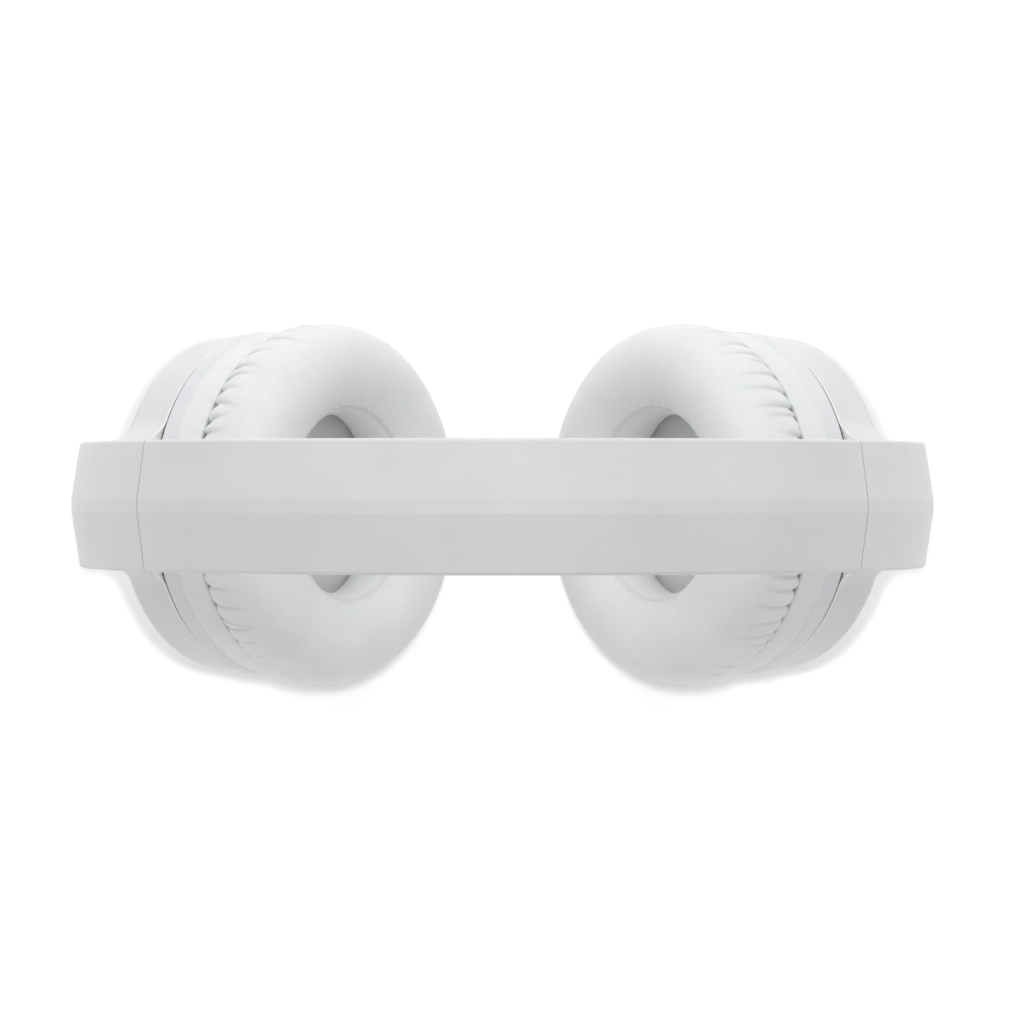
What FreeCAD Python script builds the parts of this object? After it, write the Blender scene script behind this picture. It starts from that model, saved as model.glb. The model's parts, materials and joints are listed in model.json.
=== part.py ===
"""Over-ear headphones: a sprung headband, two sliding arms and two swivelling ear cups.

Millimetres. +Z is up, X runs from ear to ear and Y from back to front. The right-hand side is built and the
left-hand side is its mirror image. The lowest point of the cups is at z = 0.
"""
import FreeCAD, Part

import math
import os

V = FreeCAD.Vector

# ---- headband: the ridge line, seen from the front ------------------------------------------------------
HALF_WIDTH = 90.0            # widest point of the band, from the middle
SIDE_RADIUS = 78.0           # ridge radius over each side
CROWN_HALF_ANGLE = 30.0      # where the top arc meets the side arc, from straight up
LOWER_RADIUS = 60.0          # ridge radius below the widest point
CUP_TILT = 35.0              # lean of the ear cups, from upright
SEAM_ELEVATION = 40.0        # parting line between the band and its end piece, on the side arc

# ---- headband: cross-section -----------------------------------------------------------------------------
BAND_HALF_Y = 13.0           # half the width of the band
CROWN_HALF_Y = 1.3           # half the width of the flat strip along the crown
ROOF_DROP = 1.8              # how far the facets fall from the crown to the edges
BAND_DEPTH = 9.5             # ridge to the lower edge of the shell
SIDE_DEPTH = 12.0            # ridge to the inside of the end piece, arm and neck
EDGE_ROUND = 0.8             # rounding of the band's long edges
WALL = 2.0                   # moulded wall
SEAM_GAP = 0.3               # open parting line
FIT_GAP = 0.3                # gap round a piece that drops into a housing

# ---- band fittings ---------------------------------------------------------------------------------------
LINER_THICK = 1.6
PAD_THICK = 6.5              # headband cushion below the shell
PAD_HALF_Y = 12.0
PAD_END = 49.0               # elevation at which the cushion ends, on the side arc
SPRING_HALF_Y = 5.0
SPRING_THICK = 0.6
SPRING_DEEP = 4.6            # ridge to the steel strip
SPRING_END = 31.0            # elevation at which the strip ends, on the side arc
SPRING_SCREW_Y = 3.0
CABLE_RADIUS = 0.8
CABLE_Y = 8.4
TONGUE_END = 44.0            # elevation to which the end piece reaches into the band

# ---- size slider and arm ---------------------------------------------------------------------------------
HOUSING_END_Z = -6.0         # lower end of the end piece, from the widest level
GUIDE_TOP_Z = 12.0           # top of the solid guide in the end piece
COVER_SCREW_ELEVATION = 17.0
COVER_SCREW_Y = 8.0
STRIP_INSET = 10.5           # widest point to the middle plane of the slider strip
STRIP_THICK = 1.2
STRIP_HALF_Y = 5.0
STRIP_CLEAR = 0.1            # running gap round the strip
DETENT_PITCH = 2.5
DETENT_COUNT = 11
DETENT_RADIUS = 0.8
ARM_HEIGHT = 6.1
STEP_GAP = 0.3               # gap above and below the arm

# ---- swivel ----------------------------------------------------------------------------------------------
SWIVEL_INSET = 9.0           # widest point to the swivel's axis
PIN_RADIUS = 2.4
PIN_BORE = 1.0
PIN_LENGTH = 14.0
BUSH_WALL = 1.0
BUSH_LENGTH = 6.2
RUN_CLEAR = 0.05             # radial clearance of the pin in its bush
CLIP_THICK = 0.8
CLIP_RADIUS = 3.6
CLIP_DEPTH = 0.6             # how far the pin's groove is cut in
BUSH_LEDGE = 0.8             # wall between the bush and the retaining ring's pocket

# ---- ear cup, in its own frame: a runs to the ear, r from the cup's middle --------------------------------
CUP_RADIUS = 38.3
COVER_DEPTH = 11.7
NECK_START = 28.1            # cup's middle to where the outer face starts to bend into the neck
NECK_BLEND = 16.0            # hollow radius between the neck and the round cover
COVER_STEP = 0.4             # how far the housing ring stands proud of the cover
COVER_TAPER = 1.2            # cup's radius to the radius of the cover's outer face
WEB_OUT = 0.2                # outer face's radius to the circle that the neck's hollow sides meet
SPIGOT_END = -1.0            # how far the housing ring reaches into the cover
COVER_WALL = 2.5
FACE_ROUND = 2.0             # rounding of the outer face's edge
HOUSING_FRONT = 4.7
HOUSING_LIP = 1.6
HOUSING_BEVEL = 0.3
CUSHION_SKIRT = 6.2          # straight part of the cushion, up to its gathered seam
ROLL_DEPTH = 9.7             # half the thickness of the cushion's roll
ROLL_BACK = 8.2              # gathered seam to where the roll is widest
CUSHION_PROUD = 1.7          # how far the roll stands out past the cover
ROLL_WIDTH = 20.7
SCREW_INSET = 4.8
SCREW_ANGLES = (48.0, 160.0, 200.0, 312.0)
SCREW_RADIUS = 1.0
SCREW_HEAD = 1.8
BOSS_RADIUS = 2.75
DRIVER_RADIUS = 20.0
DRIVER_DEPTH = 3.6
MAGNET_RADIUS = 9.0
MAGNET_THICK = 2.4

# ---- what only one cup holds -----------------------------------------------------------------------------
CELL_LONG = 34.0
CELL_HALF_Y = 11.0
CELL_THICK = 2.4
CELL_FOOT = 15.0             # how far the cell reaches below the cup's middle
BOARD_LONG = 34.0
BOARD_HALF_Y = 13.0
BOARD_THICK = 1.0
BOARD_FOOT = 23.0
CHIP = 7.0
CHIP_THICK = 0.9

# ---- right cup: what is on its rim ------------------------------------------------------------------------
RIM_A = -3.4                 # middle plane of the rim's controls
BUTTON_ANGLES = {"volume_up_button": 112.0, "volume_down_button": 126.0, "power_button": 140.0}
BUTTON_HALF_LONG = 3.6
BUTTON_HALF_WIDE = 1.4
BUTTON_PROUD = 0.6
BUTTON_GAP = 0.15
USB_HALF_WIDE = 4.5
USB_HALF_HIGH = 1.6
USB_DEPTH = 7.3
USB_WALL = 0.35
LIGHT_ANGLE = 236.0
MIC_ANGLE = 222.0
SMALL_HOLE = 0.9

# ---- derived ---------------------------------------------------------------------------------------------
FAR = 200.0                  # beyond every piece, for cutting blocks
SIDE_X = HALF_WIDTH - SIDE_RADIUS
LOWER_X = HALF_WIDTH - LOWER_RADIUS
CROWN_RADIUS = SIDE_RADIUS + SIDE_X / math.sin(math.radians(CROWN_HALF_ANGLE))
CROWN_Z = -(CROWN_RADIUS - SIDE_RADIUS) * math.cos(math.radians(CROWN_HALF_ANGLE))
SIDE_START = 90.0 - CROWN_HALF_ANGLE
STRIP_X = HALF_WIDTH - STRIP_INSET
SWIVEL_X = HALF_WIDTH - SWIVEL_INSET
STRIP_REACH = STRIP_X + STRIP_THICK / 2 + STRIP_CLEAR + FIT_GAP - SIDE_X
STRIP_TOP_Z = math.sqrt((SIDE_RADIUS - WALL - FIT_GAP) ** 2 - STRIP_REACH ** 2)
ROOF_SLOPE = ROOF_DROP / (BAND_HALF_Y - CROWN_HALF_Y)
ARM_TOP_Z = HOUSING_END_Z - STEP_GAP
ARM_END_Z = ARM_TOP_Z - ARM_HEIGHT
NECK_TOP_Z = ARM_END_Z - STEP_GAP
PIN_TOP_Z = ARM_TOP_Z - 1.2
PIN_END_Z = PIN_TOP_Z - PIN_LENGTH
BUSH_END_Z = NECK_TOP_Z - BUSH_LENGTH
BUSH_BORE = PIN_RADIUS + RUN_CLEAR
BUSH_RADIUS = BUSH_BORE + BUSH_WALL
CAVITY_RADIUS = CUP_RADIUS - COVER_WALL
COVER_RADIUS = CUP_RADIUS - COVER_STEP
FACE_RADIUS = CUP_RADIUS - COVER_TAPER
WEB_RADIUS = FACE_RADIUS + WEB_OUT
RIM_RADIUS = COVER_RADIUS + (COVER_RADIUS - FACE_RADIUS) * RIM_A / COVER_DEPTH
SCREW_CIRCLE = CUP_RADIUS - SCREW_INSET
CUSHION_RADIUS = CUP_RADIUS + CUSHION_PROUD
HOLE_RADIUS = CUSHION_RADIUS - ROLL_WIDTH
CUSHION_BACK = HOUSING_FRONT + FIT_GAP
CREASE_A = CUSHION_BACK + CUSHION_SKIRT
CUSHION_MIDDLE = CREASE_A + ROLL_BACK
CUSHION_FRONT = CUSHION_MIDDLE + ROLL_DEPTH
BAFFLE_FRONT = HOUSING_FRONT - HOUSING_LIP - 0.2
DRIVER_FRONT = BAFFLE_FRONT - 1.5
MAGNET_BACK = DRIVER_FRONT - DRIVER_DEPTH - 0.05 - MAGNET_THICK
TILT = math.radians(CUP_TILT)
CUP_UP = V(math.sin(TILT), 0, math.cos(TILT))
CUP_EAR = V(-math.cos(TILT), 0, math.sin(TILT))
BEND_END = V(LOWER_X + LOWER_RADIUS * math.cos(TILT), 0, -LOWER_RADIUS * math.sin(TILT))
CUP_CENTRE = BEND_END - CUP_UP * NECK_START + CUP_EAR * COVER_DEPTH
CROWN_ARC = (0.0, CROWN_Z, CROWN_RADIUS)
SIDE_ARC = (SIDE_X, 0.0, SIDE_RADIUS)
LOWER_ARC = (LOWER_X, 0.0, LOWER_RADIUS)


# ---- helpers ---------------------------------------------------------------------------------------------
def polygon(points):
    """A flat face through the points."""
    return Part.Face(Part.makePolygon(list(points) + [points[0]]))


def on_arc(arc, elevation, depth, y=0.0):
    """The point at an elevation on an arc, the given depth inside its ridge line."""
    centre_x, centre_z, radius = arc
    turn = math.radians(elevation)
    reach = radius - depth
    return V(centre_x + reach * math.cos(turn), y, centre_z + reach * math.sin(turn))


def sweep(section, arc, start, end):
    """Sweep a section, a list of (y, depth), along an arc between two elevations."""
    face = polygon([on_arc(arc, start, depth, y) for y, depth in section])
    return face.revolve(V(arc[0], 0, arc[1]), V(0, 1, 0), start - end)


def along_band(section, end):
    """Sweep a section over the whole crown, down to the same elevation on both side arcs."""
    crown = sweep(section, CROWN_ARC, SIDE_START, 180.0 - SIDE_START)
    side = sweep(section, SIDE_ARC, end, SIDE_START)
    return crown.fuse([side, mirrored(side)]).removeSplitter()


def mirrored(shape):
    """The left-hand twin of a right-hand shape."""
    return shape.mirror(V(0, 0, 0), V(1, 0, 0))


def roof(half_y, inset, bottom):
    """The band's section: crown strip, two facets and straight sides, offset inwards by the inset."""
    edge = inset + (half_y - CROWN_HALF_Y) * ROOF_SLOPE
    return [(-CROWN_HALF_Y, inset), (CROWN_HALF_Y, inset), (half_y, edge), (half_y, bottom),
            (-half_y, bottom), (-half_y, edge)]


def shouldered_roof(half_y, inset, bottom):
    """The roof section with level shoulders outside the band's own width."""
    inner = roof(BAND_HALF_Y, inset, bottom)
    edge = inner[2][1]
    return inner[:3] + [(half_y, edge), (half_y, bottom), (-half_y, bottom), (-half_y, edge), inner[5]]


def slab(half_y, top, bottom):
    """A plain rectangular section."""
    return [(-half_y, top), (half_y, top), (half_y, bottom), (-half_y, bottom)]


def box(low, high):
    """A box between two corners."""
    size = V(*high) - V(*low)
    return Part.makeBox(size.x, size.y, size.z, V(*low))


def to_cup(shape):
    """Move a shape from the cup's own frame (x up the cup, y, z to the ear) to its place."""
    placed = shape.copy()
    placed.rotate(V(0, 0, 0), V(0, 1, 0), CUP_TILT - 90.0)
    placed.translate(CUP_CENTRE)
    return placed


def round_part(profile):
    """Revolve a profile of (a, r) points round the cup's axis."""
    face = polygon([V(r, 0, a) for a, r in profile])
    return face.revolve(V(0, 0, 0), V(0, 0, 1), 360)


def disc(radius, low, high, at=(0.0, 0.0)):
    """A cylinder along the cup's axis."""
    return Part.makeCylinder(radius, high - low, V(at[0], at[1], low))


def at_angle(radius, angle):
    """The cup-frame x and y of a point on a circle, the angle measured from the top."""
    turn = math.radians(angle)
    return (radius * math.cos(turn), radius * math.sin(turn))


def turned(shape, angle):
    """Turn a cup-frame shape about the cup's axis."""
    copy = shape.copy()
    copy.rotate(V(0, 0, 0), V(0, 0, 1), angle)
    return copy


def round_edges(shape, radius, wanted):
    """Round the edges whose middle points satisfy the test."""
    chosen = []
    for edge in shape.Edges:
        middle = edge.valueAt((edge.FirstParameter + edge.LastParameter) / 2.0)
        if wanted(edge, middle):
            chosen.append(edge)
    return shape.makeFillet(radius, chosen)


# ---- headband --------------------------------------------------------------------------------------------
def make_band_shell():
    """Outer shell of the headband: a roof section over the crown, open below."""
    outer = along_band(roof(BAND_HALF_Y, 0.0, BAND_DEPTH), SEAM_ELEVATION)
    corner_r = CROWN_RADIUS - ROOF_DROP
    outer = round_edges(outer, EDGE_ROUND, lambda edge, middle: abs(abs(middle.y) - BAND_HALF_Y) < 0.01
                        and edge.Length > 20.0 and is_outer_corner(middle, corner_r))
    inner = along_band(roof(BAND_HALF_Y - WALL, WALL, BAND_DEPTH + 1.0), SEAM_ELEVATION - 1.0)
    return outer.cut(inner)


def is_outer_corner(middle, crown_corner):
    """Whether a point lies on the outer corner line of the band."""
    crown = V(middle.x, 0, middle.z - CROWN_Z).Length
    side = V(abs(middle.x) - SIDE_X, 0, middle.z).Length
    return abs(crown - crown_corner) < 0.3 or abs(side - (SIDE_RADIUS - ROOF_DROP)) < 0.3


def make_band_liner():
    """Inner cover of the headband, recessed between the shell's two skirts."""
    low = BAND_DEPTH - FIT_GAP
    return along_band(slab(BAND_HALF_Y - WALL - FIT_GAP, low - LINER_THICK, low), SEAM_ELEVATION + 0.3)


def make_band_cushion():
    """Padded cushion below the crown, with rounded edges and ends."""
    top = BAND_DEPTH + 0.1
    pad = along_band(slab(PAD_HALF_Y, top, top + PAD_THICK), PAD_END)
    lower = CROWN_RADIUS - top - PAD_THICK
    return round_edges(pad, 2.4, lambda edge, middle: pad_edge(middle, lower))


def pad_edge(middle, lower):
    """Whether a point lies on the cushion's lower outline."""
    crown = V(middle.x, 0, middle.z - CROWN_Z).Length
    side = V(abs(middle.x) - SIDE_X, 0, middle.z).Length
    on_crown = abs(crown - lower) < 0.05 and abs(abs(middle.y) - PAD_HALF_Y) < 0.01
    side_low = SIDE_RADIUS - (CROWN_RADIUS - lower)
    on_side = abs(side - side_low) < 0.05 and abs(middle.x) > CROWN_RADIUS * 0.3
    at_join = abs(middle.y) < 0.01 and abs(crown - lower) < 0.05
    return (on_crown or on_side) and not at_join


def make_band_spring():
    """Spring-steel strip that presses the cups to the head, with a screw hole at each end."""
    strip = along_band(slab(SPRING_HALF_Y, SPRING_DEEP, SPRING_DEEP + SPRING_THICK), SPRING_END)
    for side in (1.0, -1.0):
        for y in (-SPRING_SCREW_Y, SPRING_SCREW_Y):
            hole = radial_cylinder(SCREW_RADIUS + 0.1, SPRING_DEEP - 2.0, SPRING_DEEP + 2.0,
                                   spring_screw_elevation(), y)
            strip = strip.cut(hole if side > 0 else mirrored(hole))
    return strip


def spring_screw_elevation():
    """Middle of the strip's end, where it is screwed down."""
    return (SPRING_END + SEAM_ELEVATION) / 2.0 - 1.0


def radial_cylinder(radius, shallow, deep, elevation, y):
    """A cylinder square to the side arc, between two depths below its ridge."""
    start = on_arc(SIDE_ARC, elevation, deep, y)
    end = on_arc(SIDE_ARC, elevation, shallow, y)
    return Part.makeCylinder(radius, (end - start).Length, start, end - start)


def make_link_cable():
    """Cable between the cups, laid along the band beside the spring."""
    depth = SPRING_DEEP + SPRING_THICK / 2.0

    def run(arc, start, end):
        centre = on_arc(arc, start, depth, CABLE_Y)
        tangent = V(0, 1, 0).cross(centre - V(arc[0], CABLE_Y, arc[1]))
        ring = Part.Face(Part.Wire(Part.makeCircle(CABLE_RADIUS, centre, tangent)))
        return ring.revolve(V(arc[0], 0, arc[1]), V(0, 1, 0), start - end)

    crown = run(CROWN_ARC, SIDE_START, 180.0 - SIDE_START)
    side = run(SIDE_ARC, SPRING_END, SIDE_START)
    return crown.fuse([side, mirrored(side)])


# ---- end piece of the band -------------------------------------------------------------------------------
def make_side_housing():
    """End piece below the parting line: it holds the band's spring and guides the size slider."""
    seam = SEAM_ELEVATION - math.degrees(SEAM_GAP / SIDE_RADIUS)
    upper = sweep(roof(BAND_HALF_Y, 0.0, SIDE_DEPTH), SIDE_ARC, 0.0, seam)
    lower = sweep(roof(BAND_HALF_Y, 0.0, SIDE_DEPTH), LOWER_ARC, -20.0, 0.0)
    body = upper.fuse(lower).removeSplitter().cut(below(HOUSING_END_Z))
    corners = (SIDE_RADIUS - ROOF_DROP, LOWER_RADIUS - ROOF_DROP)
    body = round_edges(body, EDGE_ROUND, lambda edge, middle: abs(abs(middle.y) - BAND_HALF_Y) < 0.01
                       and (abs(V(middle.x - SIDE_X, 0, middle.z).Length - corners[0]) < 0.2
                            or abs(V(middle.x - LOWER_X, 0, middle.z).Length - corners[1]) < 0.2))
    hollow = sweep(roof(BAND_HALF_Y - WALL, WALL, SIDE_DEPTH + 1.0), SIDE_ARC, 0.0, seam - 1.2)
    body = body.cut(hollow.cut(below(GUIDE_TOP_Z)))
    tongue = sweep(roof(BAND_HALF_Y - WALL - FIT_GAP, WALL + FIT_GAP, tongue_depth()), SIDE_ARC, seam - 1.5,
                   TONGUE_END)
    way = sweep(slab(BAND_HALF_Y - WALL - 1.3, SPRING_DEEP - 1.0, SPRING_DEEP + SPRING_THICK + 1.2),
                SIDE_ARC, seam - 4.0, TONGUE_END + 1.0)
    body = body.fuse(tongue).cut(way)
    for y in (-SPRING_SCREW_Y, SPRING_SCREW_Y):
        post = radial_cylinder(2.0, WALL - 0.5, SPRING_DEEP - 0.1, spring_screw_elevation(), y)
        pilot = radial_cylinder(SCREW_RADIUS + 0.1, 1.5, SPRING_DEEP, spring_screw_elevation(), y)
        body = body.fuse(post).cut(pilot)
    for elevation, y in cover_screw_places():
        post = radial_cylinder(2.2, WALL - 0.3, SIDE_DEPTH - LINER_THICK - 0.2, elevation, y)
        pilot = radial_cylinder(SCREW_RADIUS + 0.1, 4.0, SIDE_DEPTH, elevation, y)
        body = body.fuse(post).cut(pilot)
    slot = box((STRIP_X - STRIP_THICK / 2 - STRIP_CLEAR, -STRIP_HALF_Y - STRIP_CLEAR, HOUSING_END_Z - 1.0),
               (STRIP_X + STRIP_THICK / 2 + STRIP_CLEAR, STRIP_HALF_Y + STRIP_CLEAR, STRIP_TOP_Z + 1.0))
    return body.cut(slot).cut(detent_pocket())


def tongue_depth():
    """Depth of the tongue's lower side, just above the liner."""
    return BAND_DEPTH - FIT_GAP - LINER_THICK - 0.2


def cover_screw_places():
    """Elevation and y of the two screws of the inner cover."""
    return ((COVER_SCREW_ELEVATION, COVER_SCREW_Y), (COVER_SCREW_ELEVATION, -COVER_SCREW_Y))


def below(z):
    """A large block whose top is at z."""
    return box((-FAR, -FAR, -FAR), (FAR, FAR, z))


def detent_pocket():
    """Recess for the leaf spring on the outer side of the slider strip."""
    face = STRIP_X + STRIP_THICK / 2 + STRIP_CLEAR
    return box((face - 0.5, -3.3, -5.0), (face + 2.2, 3.3, GUIDE_TOP_Z + 1.0))


def make_side_cover():
    """Inner cover of the end piece, with countersunk screw holes."""
    start = math.degrees(math.asin((GUIDE_TOP_Z + 2 * FIT_GAP) / (SIDE_RADIUS - SIDE_DEPTH)))
    plate = sweep(slab(BAND_HALF_Y - WALL - FIT_GAP, SIDE_DEPTH - LINER_THICK, SIDE_DEPTH), SIDE_ARC, start,
                  SEAM_ELEVATION - 1.8)
    for elevation, y in cover_screw_places():
        plate = plate.cut(radial_cylinder(SCREW_RADIUS + 0.2, 8.0, SIDE_DEPTH + 2, elevation, y))
        plate = plate.cut(radial_cylinder(SCREW_HEAD + 0.2, SIDE_DEPTH - 0.9, SIDE_DEPTH + 2, elevation, y))
    return plate


def screw(elevation, y, head_depth, length):
    """A pan-head screw driven outwards into the end piece."""
    head = radial_cylinder(SCREW_HEAD, head_depth, head_depth + 0.8, elevation, y)
    shank = radial_cylinder(SCREW_RADIUS, head_depth - length, head_depth + 0.1, elevation, y)
    cross = radial_cylinder(0.55, head_depth + 0.45, head_depth + 1.0, elevation, y)
    return head.fuse(shank).cut(cross)


def make_spring_screws():
    """Two screws that hold the end of the steel strip."""
    depth = SPRING_DEEP + SPRING_THICK + 0.05
    return Part.makeCompound([screw(spring_screw_elevation(), y, depth, 3.2)
                              for y in (-SPRING_SCREW_Y, SPRING_SCREW_Y)])


def make_cover_screws():
    """Two screws that hold the inner cover."""
    depth = SIDE_DEPTH - 0.9 + 0.05
    return Part.makeCompound([screw(elevation, y, depth, 5.5) for elevation, y in cover_screw_places()])


# ---- slider, arm and swivel ------------------------------------------------------------------------------
def make_detent_spring():
    """Leaf spring whose rounded nose clicks over the slider's dimples."""
    face = STRIP_X + STRIP_THICK / 2 + STRIP_CLEAR
    leaf = box((face + 1.3, -3.0, -4.7), (face + 1.7, 3.0, GUIDE_TOP_Z - 0.5))
    nose = Part.makeCylinder(1.2, 4.0, V(face + 1.35, -2.0, 0.0), V(0, 1, 0))
    hollow = box((face + 1.5, -3.0, -2.0), (face + 4.0, 3.0, 2.0))
    return leaf.fuse(nose.cut(hollow)).removeSplitter()


def make_slider_strip():
    """Steel strip that slides in the end piece: a row of dimples, and a forked foot round the pin."""
    low = ARM_END_Z + 1.0
    strip = box((STRIP_X - STRIP_THICK / 2, -STRIP_HALF_Y, low), (STRIP_X + STRIP_THICK / 2, STRIP_HALF_Y,
                                                                  STRIP_TOP_Z))
    strip = round_edges(strip, 2.0, lambda edge, middle: abs(middle.z - STRIP_TOP_Z) < 0.01
                        and abs(abs(middle.y) - STRIP_HALF_Y) < 0.01)
    fork = box((STRIP_X - 2, -PIN_RADIUS - 0.3, low - 1), (STRIP_X + 2, PIN_RADIUS + 0.3, PIN_TOP_Z + 0.6))
    strip = strip.cut(fork)
    face = STRIP_X + STRIP_THICK / 2
    dimples = [Part.makeCylinder(DETENT_RADIUS, 1.0, V(face - 0.5, 0, step * DETENT_PITCH), V(1, 0, 0))
               for step in range(DETENT_COUNT)]
    return strip.cut(Part.makeCompound(dimples))


def make_arm():
    """Block at the slider's foot, with the band's own section, that carries the swivel pin."""
    block = sweep(roof(BAND_HALF_Y, 0.0, SIDE_DEPTH), LOWER_ARC, -30.0, 0.0)
    block = block.common(box((0, -FAR, ARM_END_Z), (FAR, FAR, ARM_TOP_Z)))
    corner = LOWER_RADIUS - ROOF_DROP
    block = round_edges(block, EDGE_ROUND, lambda edge, middle: abs(abs(middle.y) - BAND_HALF_Y) < 0.01
                        and abs(V(middle.x - LOWER_X, 0, middle.z).Length - corner) < 0.2)
    socket = box((STRIP_X - STRIP_THICK / 2 - 0.02, -STRIP_HALF_Y - 0.02, ARM_END_Z + 0.9),
                 (STRIP_X + STRIP_THICK / 2 + 0.02, STRIP_HALF_Y + 0.02, ARM_TOP_Z + 1))
    pin_hole = Part.makeCylinder(PIN_RADIUS + 0.02, PIN_TOP_Z + 0.1 - PIN_END_Z, V(SWIVEL_X, 0, PIN_END_Z))
    return block.cut(socket).cut(pin_hole)


def make_swivel_pin():
    """Hollow pin, fixed in the arm, on which the cup turns; the cable passes through it."""
    pin = Part.makeCylinder(PIN_RADIUS, PIN_LENGTH, V(SWIVEL_X, 0, PIN_END_Z))
    bore = Part.makeCylinder(PIN_BORE, PIN_LENGTH + 2, V(SWIVEL_X, 0, PIN_END_Z - 1))
    groove = Part.makeCylinder(PIN_RADIUS + 1, CLIP_THICK + 0.1, V(SWIVEL_X, 0, clip_bottom() - 0.05))
    core = Part.makeCylinder(PIN_RADIUS - CLIP_DEPTH, PIN_LENGTH, V(SWIVEL_X, 0, PIN_END_Z))
    return pin.cut(bore).cut(groove.cut(core))


def clip_bottom():
    """Lower face of the retaining ring."""
    return BUSH_END_Z - BUSH_LEDGE - 0.2 - CLIP_THICK


def make_swivel_bush():
    """Plain bush in the neck of the cup."""
    ring = Part.makeCylinder(BUSH_RADIUS, BUSH_LENGTH - 0.2, V(SWIVEL_X, 0, BUSH_END_Z))
    return ring.cut(Part.makeCylinder(BUSH_BORE, BUSH_LENGTH + 2, V(SWIVEL_X, 0, BUSH_END_Z - 1)))


def make_swivel_clip():
    """Open retaining ring in the pin's groove."""
    ring = Part.makeCylinder(CLIP_RADIUS, CLIP_THICK, V(SWIVEL_X, 0, clip_bottom()))
    inside = PIN_RADIUS - CLIP_DEPTH + 0.05
    ring = ring.cut(Part.makeCylinder(inside, CLIP_THICK + 2, V(SWIVEL_X, 0, clip_bottom() - 1)))
    return ring.cut(box((SWIVEL_X - 6, -1.5, clip_bottom() - 1), (SWIVEL_X, 1.5, clip_bottom() + 2)))


# ---- ear cup ---------------------------------------------------------------------------------------------
def cover_outline():
    """Outline of the cover in the cup's plane: a circle that flows into the neck through hollow curves."""
    reach = WEB_RADIUS + NECK_BLEND
    side = BAND_HALF_Y + NECK_BLEND
    rise = neck_rise()
    touch = V(rise, side, 0) * (WEB_RADIUS / reach)
    turn = math.atan2(side, rise)
    between = (turn + math.pi / 2) / 2 - 0.02
    hollow_mid = V(rise - NECK_BLEND * math.sin(between), side - NECK_BLEND * math.cos(between), 0)
    top = rise + CUP_RADIUS
    other = V(touch.x, -touch.y, 0)
    hollow_other = V(hollow_mid.x, -hollow_mid.y, 0)
    wire = Part.Wire([
        Part.Arc(other, V(-WEB_RADIUS, 0, 0), touch).toShape(),
        hollow_edge(touch, V(rise, side, 0), V(rise, BAND_HALF_Y, 0)),
        Part.makeLine(V(rise, BAND_HALF_Y, 0), V(top, BAND_HALF_Y, 0)),
        Part.makeLine(V(top, BAND_HALF_Y, 0), V(top, -BAND_HALF_Y, 0)),
        Part.makeLine(V(top, -BAND_HALF_Y, 0), V(rise, -BAND_HALF_Y, 0)),
        hollow_edge(V(rise, -BAND_HALF_Y, 0), V(rise, -side, 0), other),
    ])
    return Part.Face(wire)


def neck_rise():
    """Height above the cup's middle at which the neck's hollow sides end."""
    return math.sqrt((WEB_RADIUS + NECK_BLEND) ** 2 - (BAND_HALF_Y + NECK_BLEND) ** 2)


def hollow_edge(start, centre, end):
    """The short arc between two points, bulging towards the cup's middle line."""
    middle = (start + end) * 0.5 - centre
    middle.normalize()
    return Part.Arc(start, centre + middle * NECK_BLEND, end).toShape()


def roof_block(inset, half_y):
    """A deep block under the outer surface of the cover and neck, offset inwards."""
    section = shouldered_roof(half_y, inset, COVER_DEPTH + HOUSING_FRONT + CUSHION_SKIRT)
    bend = sweep(section, LOWER_ARC, -CUP_TILT, 5.0)
    face = polygon([on_arc(LOWER_ARC, -CUP_TILT, depth, y) for y, depth in section])
    flat = face.extrude(CUP_UP * -(NECK_START + CUP_RADIUS))
    return bend.fuse(flat).removeSplitter()


def face_drum():
    """The cover's round body: a slightly tapered drum whose outer edge is rounded."""
    drum = Part.makeCone(FACE_RADIUS, COVER_RADIUS, COVER_DEPTH, V(0, 0, -COVER_DEPTH))
    drum = round_edges(drum, FACE_ROUND, lambda edge, middle: abs(middle.z + COVER_DEPTH) < 0.01
                       and abs(math.hypot(middle.x, middle.y) - FACE_RADIUS) < 0.01)
    return to_cup(drum)


def make_cup_cover():
    """Outer cover of the cup: a tapered drum that flows into the faceted neck."""
    mask = to_cup(cover_outline().extrude(V(0, 0, FAR)).translated(V(0, 0, -FAR)))
    plate = roof_block(0.0, CUP_RADIUS + 3.0).common(mask)
    neck = sweep(roof(BAND_HALF_Y, 0.0, SIDE_DEPTH), LOWER_ARC, -28.0, 0.0)
    neck = neck.common(to_cup(box((CUP_RADIUS + 0.4, -FAR, -FAR), (FAR, FAR, FAR))))
    body = plate.fuse(neck).removeSplitter()
    body = body.common(below(NECK_TOP_Z))
    body = round_cover(body).fuse(face_drum()).removeSplitter()
    body = body.cut(to_cup(disc(CAVITY_RADIUS, WALL - COVER_DEPTH, 1)))
    for angle in SCREW_ANGLES:
        place = at_angle(SCREW_CIRCLE, angle)
        body = body.fuse(to_cup(disc(BOSS_RADIUS, WALL / 2 - COVER_DEPTH, -0.3, place)))
        body = body.cut(to_cup(disc(SCREW_RADIUS + 0.1, -6.4, 1, place)))
    body = body.cut(Part.makeCylinder(BUSH_RADIUS + 0.02, 30, V(SWIVEL_X, 0, BUSH_END_Z)))
    body = body.cut(Part.makeCylinder(PIN_RADIUS + 0.4, 30, V(SWIVEL_X, 0, BUSH_END_Z - 1.0)))
    low = PIN_END_Z - 0.4
    high = BUSH_END_Z - BUSH_LEDGE
    pocket = Part.makeCylinder(CLIP_RADIUS + 0.2, high - low, V(SWIVEL_X, 0, low))
    window = box((SWIVEL_X - 12, -CLIP_RADIUS - 0.2, low), (SWIVEL_X, CLIP_RADIUS + 0.2, high))
    keep = to_cup(disc(CAVITY_RADIUS + 1.0, -FAR, -0.5))
    return body.cut(pocket).cut(window.common(keep))


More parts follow.
